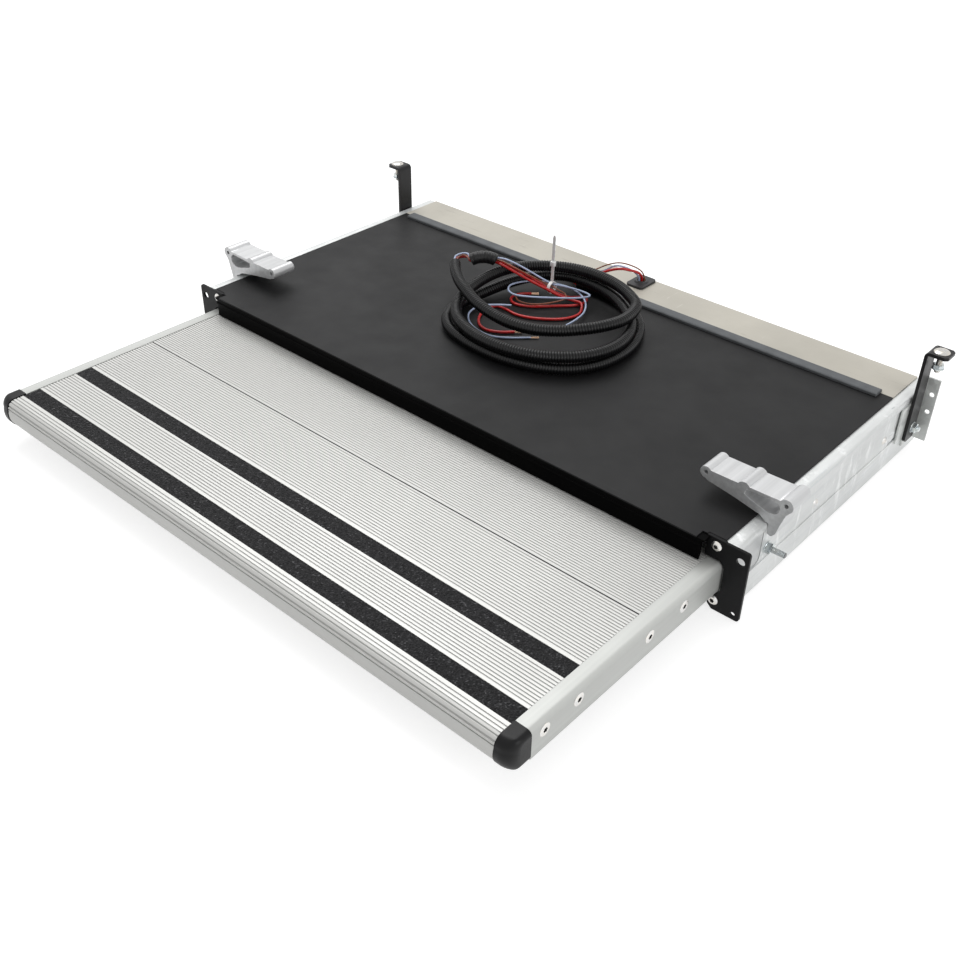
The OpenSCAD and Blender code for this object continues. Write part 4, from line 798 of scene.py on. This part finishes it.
def add_head(shape, place, outward, radius, rise, recess, depth):
    """Screw head with a star recess: nearly flat if rise is small, else a pan head."""
    lobes, lobe_depth = 6, 0.13
    soft = 0.00012
    skirt = 0.0004

    def dome(r):
        return rise * math.sqrt(max(0.0, 1 - (r / radius) ** 2 * 0.92))

    star = [recess * (1 + lobe_depth * math.cos(lobes * 2 * math.pi * k / head_around))
            for k in range(head_around)]
    rings = [[(r * 0.05, dome(recess) - depth) for r in star],
             [(r * 0.94, dome(recess) - depth) for r in star],
             [(r, dome(recess) - soft) for r in star],
             [(r + soft, dome(recess)) for r in star]]
    for i in range(1, head_steps + 1):
        reach = [r + (radius - r) * i / head_steps for r in star]
        rings.append([(r, dome(r)) for r in reach])
    rings.append((radius, -skirt))
    first = shape.turned(place, outward, rings, head_around)
    shape.close(first, head_around)


def shade_head_recesses(piece):
    """Painted shade in the recess and a painted shade line round the rim of heads that add_head made."""
    rings = [0.95, 0.95, 0.5] + [0.0] * (head_steps + 1) + [0.65]
    one_head = [painted_shade for painted_shade in rings for _ in range(head_around)]
    mark_points(piece, "painted_shade", one_head * (len(piece.data.vertices) // len(one_head)))


def shade_thread_valleys(piece, y, z, radius):
    """Painted shade in the thread valleys of shanks that run along x."""
    darkest, valley = 0.85, 0.0005
    reach = [math.hypot(v.co.y - y, v.co.z - z) for v in piece.data.vertices]
    mark_points(piece, "painted_shade", [min(darkest, max(0.0, (radius - r) / valley)) for r in reach])


def make_guide_nuts():
    """Studs of the front guides, with their nuts and washers."""
    nut_height = 0.005
    low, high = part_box("guide_studs")
    _, y, z = middle("guide_studs")
    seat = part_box("guide_nuts")[1][0] - nut_height - washer_thick
    start = seat - 0.004
    shank = (high[2] - low[2]) / 4
    nuts, studs = Shape(), Shape()
    for side in (-1, 1):
        outward = (side, 0, 0)
        add_washer(nuts, Vector((side * seat, y, z)), outward, shank)
        add_nut(nuts, Vector((side * (seat + washer_thick), y, z)), outward, nut_height, shank * 0.98)
        add_thread(studs, Vector((side * start, y, z)), outward, shank, high[0] - start)
    nuts.finish("guide_nuts_hex", "housing", "zinc", "guide_nuts")
    studs = studs.finish("guide_studs_threaded", "housing", "zinc", "guide_studs")
    shade_thread_valleys(studs, y, z, shank)


def make_hanger_bolts():
    """Bolts with nuts and washers through the hanger straps."""
    strap_thick, nut_height, bolt_length = 0.0035, 0.004, 0.0082
    shape = Shape()
    for side, node in zip((-1, 1), both("hanger_strap")):
        low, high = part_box(node)
        y, z = middle(node).y, middle("hanger_bolts").z
        face = (high[0] if side < 0 else low[0]) + side * strap_thick
        outward = (side, 0, 0)
        add_washer(shape, Vector((face, y, z)), outward, m6_radius)
        add_nut(shape, Vector((face + side * washer_thick, y, z)), outward, nut_height, m6_bore)
        add_thread(shape, Vector((face, y, z)), outward, m6_radius, bolt_length)
    shape.finish("hanger_bolts_hex", "housing", "zinc", "hanger_bolts")


def make_pad_fixings():
    """Domed pads with threaded shanks on the hanger straps, and flanged nuts under them."""
    nut_drop, nut_height, shank_length = 0.0133, 0.005, 0.0225
    nuts, pads = Shape(), Shape()
    for side, node, out in ((-1, "hanger_strap_left", 0.015), (1, "hanger_strap_right", 0.0125)):
        low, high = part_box(node)
        inner = high[0] if side < 0 else low[0]
        place = Vector((inner + side * out, middle(node).y, high[2]))
        seat = place - Vector((0, 0, nut_drop))
        add_nut(nuts, seat, (0, 0, -1), nut_height, m6_bore)
        add_washer(nuts, seat - Vector((0, 0, nut_height)), (0, 0, 1), m6_radius, 0.001)
        add_thread(pads, place, (0, 0, -1), m6_radius, shank_length)
        add_pad(pads, place)
    nuts.finish("pad_nuts_hex", "housing", "zinc", "hanger_pad_nuts")
    pads.finish("hanger_pads_domed", "housing", "pad", "hanger_pads")


def add_pad(shape, place):
    """Mushroom pad with a flat in its crown."""
    around = 48
    radius, rise, flat, rim = 0.008, 0.0022, 0.0037, 0.0002
    profile = [(m6_radius, 0), (radius, 0), (radius, rim)]
    for i in range(1, 8):
        r = radius + (flat - radius) * i / 7
        profile.append((r, rim + (rise - rim) * (1 - ((r - flat) / (radius - flat)) ** 2)))
    shape.turned(place, (0, 0, 1), profile + [(0.0004, rise)], around)
    shape.close(len(shape.points) - around, around)


def make_rail_screws():
    """Countersunk star-drive screws along the outside of both rails."""
    rail_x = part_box("side_rail_right")[1][0] - contact
    port_drop, rear_port, cross_port = 0.0105, 0.00605, 0.007
    port_z = tread_top - port_drop
    rows = [(nose_y + s * MM, port_z) for s in (39.8, 80.6, 173.5, 223)]
    rows.append((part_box("tread_rear_profile")[1][1] - rear_port, port_z))
    rows.append((middle("rear_cross_member").y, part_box("rear_cross_member")[0][2] + cross_port))
    shape = Shape()
    for side in (-1, 1):
        for y, z in rows:
            add_head(shape, Vector((side * rail_x, y, z)), (side, 0, 0),
                     radius=0.006, rise=0.0009, recess=0.0023, depth=0.0018)
    shade_head_recesses(shape.finish("rail_screw_heads", "step", "screws", "rail_screws"))


def make_plate_screws():
    """Pan-head star-drive screws on the front of the fixing plates."""
    low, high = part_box("plate_screws")
    edge, upper_in = 0.0046, 0.005
    shape = Shape()
    for side in (-1, 1):
        for x, z in ((high[0] - edge - upper_in, high[2] - edge), (high[0] - edge, low[2] + edge)):
            add_head(shape, Vector((side * x, 0, z)), (0, -1, 0),
                     radius=0.005, rise=0.0025, recess=0.002, depth=0.0016)
    shade_head_recesses(shape.finish("plate_screw_heads", "housing", "screws", "plate_screws"))


def make_rivets():
    """Domed rivet heads with the broken mandrel in a dimple."""
    low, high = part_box("channel_rivets")
    z = middle("channel_rivets").z
    face, head_radius, around = 0.361, 0.0048, 36
    profile = [(0.0002, 0.0006), (0.0011, 0.0006), (0.0012, 0.0012), (0.0018, 0.0017), (0.003, 0.0013),
               (0.0042, 0.0006), (head_radius, 0.0)]
    shape = Shape()
    for side in (-1, 1):
        for y in (low[1] + head_radius, high[1] - head_radius):
            first = shape.turned(Vector((side * face, y, z)), (side, 0, 0), profile, around)
            shape.close(first, around)
    shape.finish("rivet_heads", "housing", "channel", "channel_rivets", material="rivet")


# Harness details
def make_sleeve():
    """Taped sleeve: a wrinkled arc of tube over the bundle."""
    along = Vector((sleeve_to[0] - sleeve_from[0], sleeve_to[1] - sleeve_from[1], 0)).normalized()
    centre = Vector((*sleeve_middle, cover_top + sleeve_top - sleeve_bend))
    steps, mouth, every = 60, 12, 3
    route = []
    for i in range(steps + 1):
        a = sleeve_half_angle * (2 * i / steps - 1)
        reach = Vector((along.x * math.sin(a), along.y * math.sin(a), math.cos(a)))
        route.append((centre + reach * sleeve_bend) * MM)
    arc = frames_along(route)
    outer, bore = 0.0069, 0.0058
    rings = [(*arc[i], bore) for i in range(mouth, -1, -every)]
    for i, f in enumerate(arc):
        fold = 0.00028 * math.sin(i * 1.9) + 0.0002 * math.sin(i * 0.7 + 1)
        wrap = 0.00025 * ((i / 9.0) % 1.0)
        rings.append((*f, outer + fold + wrap))
    rings += [(*arc[-1 - i], bore) for i in range(0, mouth + 1, every)]
    shape = Shape()
    shape.tube(rings, 32)
    shape.finish("sleeve_taped", "housing", "sleeve", "conduit_sleeve", smooth_below=60)


def make_cable_tie():
    """Nylon tie: a loop round the loose wires, its head, and a toothed tail standing up."""
    low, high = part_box("cable_tie")
    x, y, _ = middle("cable_tie")
    wide, thick = 0.0018, 0.0005
    corners = ((-1, -1), (-1, 1), (1, 1), (1, -1))
    loop = 0.0068
    loop_z = low[2] + 0.0075
    shape = Shape()
    turns = [math.radians(a) for a in range(4, 357, 8)]
    for a in turns:
        for across, out in corners:
            reach = loop + thick * out
            shape.points.append((x + wide * across, y + reach * math.sin(a), loop_z + reach * math.cos(a)))
    shape.close_ends(shape.join(len(turns), 4), 4)
    rows = 120
    bottom = loop_z + loop
    tooth_depth = 0.00022
    lean_from, lean_most = 0.4, 0.00036
    taper_from, taper_most = 0.94, 0.45
    for i in range(rows + 1):
        t = i / rows
        tooth = tooth_depth if i % 2 else 0.0
        lean = lean_most * (max(0.0, t - lean_from) / (1 - lean_from)) ** 2
        taper = 1 - taper_most * max(0.0, t - taper_from) / (1 - taper_from)
        for across, out in corners:
            depth = thick - tooth if out > 0 else -thick
            shape.points.append((
                x + wide * taper * across, y + depth + lean, bottom + (high[2] - bottom) * t))
    shape.close_ends(shape.join(rows + 1, 4), 4)
    shape.finish("cable_tie_toothed", "housing", "tie", "cable_tie", smooth_below=50)
    make_tie_head(x, y)


def make_tie_head(x, y):
    """The tie's head, a block with rounded edges on its loop."""
    wide, deep, tall, rounding = 0.0056, 0.0048, 0.006, 0.0007
    foot = 0.0405
    mesh = bpy.data.meshes.new("cable_tie_head")
    made = bmesh.new()
    bmesh.ops.create_cube(made, size=1.0)
    for v in made.verts:
        v.co = (x + wide * v.co.x, y + deep * v.co.y, tall * (v.co.z + 0.5))
    bmesh.ops.bevel(made, geom=made.edges[:], offset=rounding, segments=3, affect="EDGES", profile=0.5)
    made.to_mesh(mesh)
    made.free()
    head = smoothed(add_object("cable_tie_head", mesh), 50)
    head.location.z = cover_top * MM + foot
    dress(head, "housing", "tie")


def soften(node, slot, width, above=30):
    """Puts a copy with its sharp edges rounded in place of a CAD node of the housing."""
    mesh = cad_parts[node].data.copy()
    made = bmesh.new()
    made.from_mesh(mesh)
    bmesh.ops.remove_doubles(made, verts=made.verts, dist=1e-6)
    bmesh.ops.dissolve_limit(made, angle_limit=math.radians(0.5), verts=made.verts, edges=made.edges)
    made.to_mesh(mesh)
    made.free()
    piece = add_object(node + "_soft", mesh)
    bevel = piece.modifiers.new("edges", "BEVEL")
    bevel.width = width
    bevel.segments = 2
    bevel.limit_method = "ANGLE"
    bevel.angle_limit = math.radians(above)
    bevel.harden_normals = True
    smoothed(piece, above)
    dress(piece, "housing", slot, node)


# Tread profiles, drawn over s, the distance behind the nose, and z, down from
# the tread's top, in millimetres, with how much painted shade each point gets
groove_deep = 0.65
groove_half = 0.78
groove_soft = 0.14
nose_radius = 9
nose_centre = (10, -9)
front_bulge = 18
front_bulge_z = -15.9
rail_height = 30
profile_thick = 15
nose_back = 24
strips = ((20, 39.3), (81.7, 101))


def groove(s):
    """One groove of the flat tread, from front to back."""
    front = [(s - groove_half, 0, 0), (s - 0.6, -groove_soft, 0.3), (s - 0.42, -groove_deep, 1)]
    return front + [(2 * s - x, z, painted_shade) for x, z, painted_shade in reversed(front)]


def round_nose(angle, deep=0.0, painted_shade=0.0):
    a = math.radians(angle)
    r = nose_radius - deep
    return (nose_centre[0] + r * math.cos(a), nose_centre[1] + r * math.sin(a), painted_shade)


def round_groove(angle):
    """One groove of the nose, from front to back."""
    return [round_nose(angle + turn, deep, painted_shade) for turn, deep, painted_shade in (
        (5, 0, 0), (3.8, groove_soft, 0.3), (2.6, groove_deep, 1),
        (-2.6, groove_deep, 1), (-3.8, groove_soft, 0.3), (-5, 0, 0))]


def strip_recess(ends):
    return [(ends[0], 0, 0), (ends[0], -1, 1), (ends[1], -1, 1), (ends[1], 0, 0)]


def bulge_points(reach):
    """The nose's front face, from its foot up to where the corner starts."""
    found = []
    for angle in range(230, 154, -3):
        a = math.radians(angle)
        z = front_bulge_z + reach * math.sin(a)
        if -rail_height + 0.4 < z < -nose_radius - 0.4:
            found.append((front_bulge + reach * math.cos(a), z, 0))
    return found


def front_outline(depth):
    """The front profile: foot, front face, ribbed corner, ribbed flat with two strips."""
    corner = [(177.6, 0, 0.2), (176.8, 0.9, 1), (172.6, 0.9, 1), (171.4, 0.1, 0.2), (168,), (164,),
              (160.6,), (159.6, 0.15), (158.4, 0.7, 0), (156.6, 1.0, 0.8), (147.4, 1.0, 1),
              (146.2, 0.2, 0.5), (145.2,), (141,), (137,), (133,), (130,)]
    line = [(nose_back, -rail_height, 0), (6.8, -rail_height, 0)] + bulge_points(front_bulge)
    line += [round_nose(*place) for place in corner] + round_groove(122.5)
    line += [round_nose(115), round_nose(111)] + round_groove(101.5) + groove(11.8) + groove(15.6)
    line += strip_recess(strips[0])
    for i in range(11):
        line += groove(43.4 + 3.46 * i)
    line += strip_recess(strips[1])
    first, last, count = 105.6, depth - 3.4, 22
    for i in range(count):
        line += groove(first + (last - first) * i / (count - 1))
    return line + seam_edge(depth, -1)[::-1] + [(nose_back, -profile_thick, 0)]


def seam_edge(s, side):
    """The chamfered edge at the seam, with near-black painted shadow down its gap, from the bottom up,
    with the profile on one side.
    """
    return [(s, -profile_thick, 2), (s, -0.8, 2), (s + side * 0.4, -0.15, 2), (s + side * 0.6, 0, 0.5)]


def rear_outline(start, end):
    line = seam_edge(start, 1)
    first, pitch = start + 4, 3.109
    for i in range(int((end - 1 - first) / pitch) + 1):
        line += groove(first + pitch * i)
    return line + [(end, 0, 0), (end, -profile_thick, 0)]


def extrude(name, outline, node):
    """A closed bar along X from an outline of (s, z, painted shade)."""
    points = [(x, nose_y + s * MM, tread_top + z * MM)
              for x in (tread_left, tread_right) for s, z, _ in outline]
    n = len(outline)
    faces = [(k, (k + 1) % n, n + (k + 1) % n, n + k) for k in range(n)]
    faces += [tuple(reversed(range(n))), tuple(range(n, 2 * n))]
    bar = mesh_object(name, points, faces, 25)
    turn_faces_out(bar)
    mark_points(bar, "painted_shade", [painted_shade for _, _, painted_shade in outline] * 2)
    dress(bar, "step", "tread", node)


def make_treads():
    """Both tread profiles with every rib, a seam in painted shadow, and a narrow gap to the left rail."""
    extrude("tread_front_ribbed", front_outline((tread_high[1] - nose_y) / MM), "tread_front_profile")
    ends = [(corner[1] - nose_y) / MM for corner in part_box("tread_rear_profile")]
    extrude("tread_rear_ribbed", rear_outline(*ends), "tread_rear_profile")


def make_strips():
    """Gritty strips: a fine grid with a grain standing at every point."""
    grain_size, grain_height, wander = 0.001, 0.0006, 0.0002
    chance = random.Random(11)
    for node, name in (("grip_strip_front", "grip_front_gritty"), ("grip_strip_rear", "grip_rear_gritty")):
        low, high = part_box(node)
        across = int((tread_right - tread_left) / grain_size)
        along = int((high[1] - low[1]) / grain_size)
        points, faces, grains = [], [], []
        for j in range(along + 3):
            for i in range(across + 3):
                x = tread_left + (tread_right - tread_left) * min(max(i - 1, 0), across) / across
                y = low[1] + (high[1] - low[1]) * min(max(j - 1, 0), along) / along
                edge = i in (0, across + 2) or j in (0, along + 2)
                z = low[2] if edge else tread_top - grain_height * chance.random()
                shift = 0.0 if edge or i in (1, across + 1) or j in (1, along + 1) else wander
                x += shift * chance.uniform(-1, 1)
                y += shift * chance.uniform(-1, 1)
                points.append((x, y, z))
                grains.append(chance.random())
        wide = across + 3
        for j in range(along + 2):
            for i in range(wide - 1):
                a = j * wide + i
                faces.append((a, a + 1, a + wide + 1, a + wide))
        strip = mesh_object(name, points, faces, 5)
        mark_points(strip, "grain", grains)
        dress(strip, "step", "grip", node)


def make_end_caps():
    """Nose caps: the nose's outline, drawn in with round edges towards the outside."""
    front_round, top_round = 12, 4.8
    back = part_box("side_rail_right")[0][1] - contact
    back_s = (back - nose_y) / MM
    for side, node in zip((-1, 1), both("end_cap")):
        low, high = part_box(node)
        inner, outer = (low[0], high[0]) if side > 0 else (-high[0], -low[0])
        proud = (high[2] - tread_top) / MM
        line = [(back_s, proud), (18, proud), (14, proud)]
        line += [round_nose(angle, -proud)[:2] for angle in range(90, 173, 6)]
        line += [(s, z) for s, z, _ in reversed(bulge_points(front_bulge + proud))]
        foot = -rail_height - proud
        line += [(6.2, -rail_height - 0.3), (8.5, foot), (16, foot), (back_s, foot)]
        ways = []
        for i in range(len(line)):
            a, b = line[max(i - 1, 0)], line[min(i + 1, len(line) - 1)]
            ways.append(Vector((b[0] - a[0], b[1] - a[1])).normalized().x)
        turns = [math.radians(7.5 * k) for k in range(13)]
        levels = [inner, inner + 0.001] + [outer - front_round * MM * (1 - math.sin(a)) for a in turns]
        shape = Shape()
        for x in levels:
            front_in, top_in = [drawn_in(x, outer, reach) for reach in (front_round, top_round)]
            kept = 1 - front_in / (back_s + 1)
            for (s, z), way in zip(line, ways):
                shape.points.append((
                    side * x, back - (back_s - s) * kept * MM, tread_top + (z + way * top_in) * MM))
        shape.close_ends(shape.join(len(levels), len(line)), len(line))
        cap = mesh_object(node + "_rounded", shape.points, shape.faces, 35)
        turn_faces_out(cap)
        dress(cap, "step", "cap", node)


def drawn_in(x, outer, radius):
    """How far a round edge of a radius is drawn in at x, near the outer face, in millimetres."""
    gone = max(0.0, (x - (outer - radius * MM)) / MM)
    return radius - math.sqrt(max(0.0, radius ** 2 - gone ** 2))


make_treads()
make_strips()
make_end_caps()
make_guide_nuts()
make_hanger_bolts()
make_pad_fixings()
make_rail_screws()
make_plate_screws()
make_rivets()
make_sleeve()
make_cable_tie()
for slot, width, nodes in (
        ("plate", 0.0005, both("front_plate")),
        ("strap", 0.0004, both("hanger_strap")),
        ("bracket", 0.0002, both("clamp_bracket")),
        ("channel", 0.0002, both("side_channel")),
        ("cover", 0.0003, ("top_cover",)), ("rear", 0.0003, ("rear_panel",)),
        ("angle", 0.0003, ("rear_angle",)), ("seal", 0.0006, ("seal_strip",)),
        ("rubber", 0.0006, ("cable_grommet",)), ("lip", 0.0002, ("front_lip",))):
    for node in nodes:
        soften(node, slot, width)


# Stage: a pale floor under the part, a white world and soft lamps
def background_seen(tree):
    """1 for rays that see the background: from the camera, off gloss or through glass."""
    seen = add_node(tree, "LightPath", "Is Camera Ray")
    for name in ("Is Glossy Ray", "Is Transmission Ray"):
        seen = add_math(tree, "MAXIMUM", seen, add_node(tree, "LightPath", name))
    return seen


def make_floor():
    """A floor that keeps the part's shadow, and is lifted to white where it shows."""
    z = cad_box[0][2] - 0.0005
    half, lift = 6.0, 0.72
    corners = [(-half, -half, z), (half, -half, z), (half, half, z), (-half, half, z)]
    floor = mesh_object("floor", corners, [(0, 1, 2, 3)])
    finish = Finish("floor_white", (0.5, 0.5, 0.5), 0.9, specular=0.1)
    finish.shader.inputs["Emission Color"].default_value = (1, 1, 1, 1)
    finish.feed(add_math(finish.tree, "MULTIPLY", background_seen(finish.tree), lift), "Emission Strength")
    floor.data.materials.append(finish.material)


def make_world():
    """White where it shows. As light it is softer, and dim low in front of the step."""
    world = bpy.data.worlds.new("white")
    bpy.context.scene.world = world
    world.use_nodes = True
    tree = world.node_tree
    background = tree.nodes["Background"]
    background.inputs["Color"].default_value = (1, 1, 1, 1)
    way = add_node(tree, "TexCoord", "Generated")
    ahead, up = [add_node(tree, "SeparateXYZ", axis, Vector=way) for axis in ("Y", "Z")]
    light = add_node(tree, "MapRange", "Result", Value=add_math(tree, "ADD", ahead, up),
                     From_Min=-0.9, From_Max=0.0, To_Min=0.08, To_Max=0.64)
    strength = add_node(tree, "MapRange", "Result", Value=background_seen(tree), To_Min=light, To_Max=1.0)
    tree.links.new(strength, background.inputs["Strength"])


def make_lamp(name, place, size, power):
    """A round soft lamp that faces the part's middle."""
    data = bpy.data.lights.new(name, "AREA")
    data.shape = "DISK"
    data.size = size
    data.energy = power
    lamp = add_object(name, data)
    lamp.location = place
    middle = Vector((0, 0.05, 0))
    lamp.rotation_euler = (middle - Vector(place)).to_track_quat("-Z", "Y").to_euler()


make_floor()
make_world()
make_lamp("key", (-1.35, 0.9, 2.8), 2.5, 58)
make_lamp("fill", (2.9, -0.1, 1.0), 1.6, 19)
bpy.context.scene.view_settings.view_transform = "Standard"
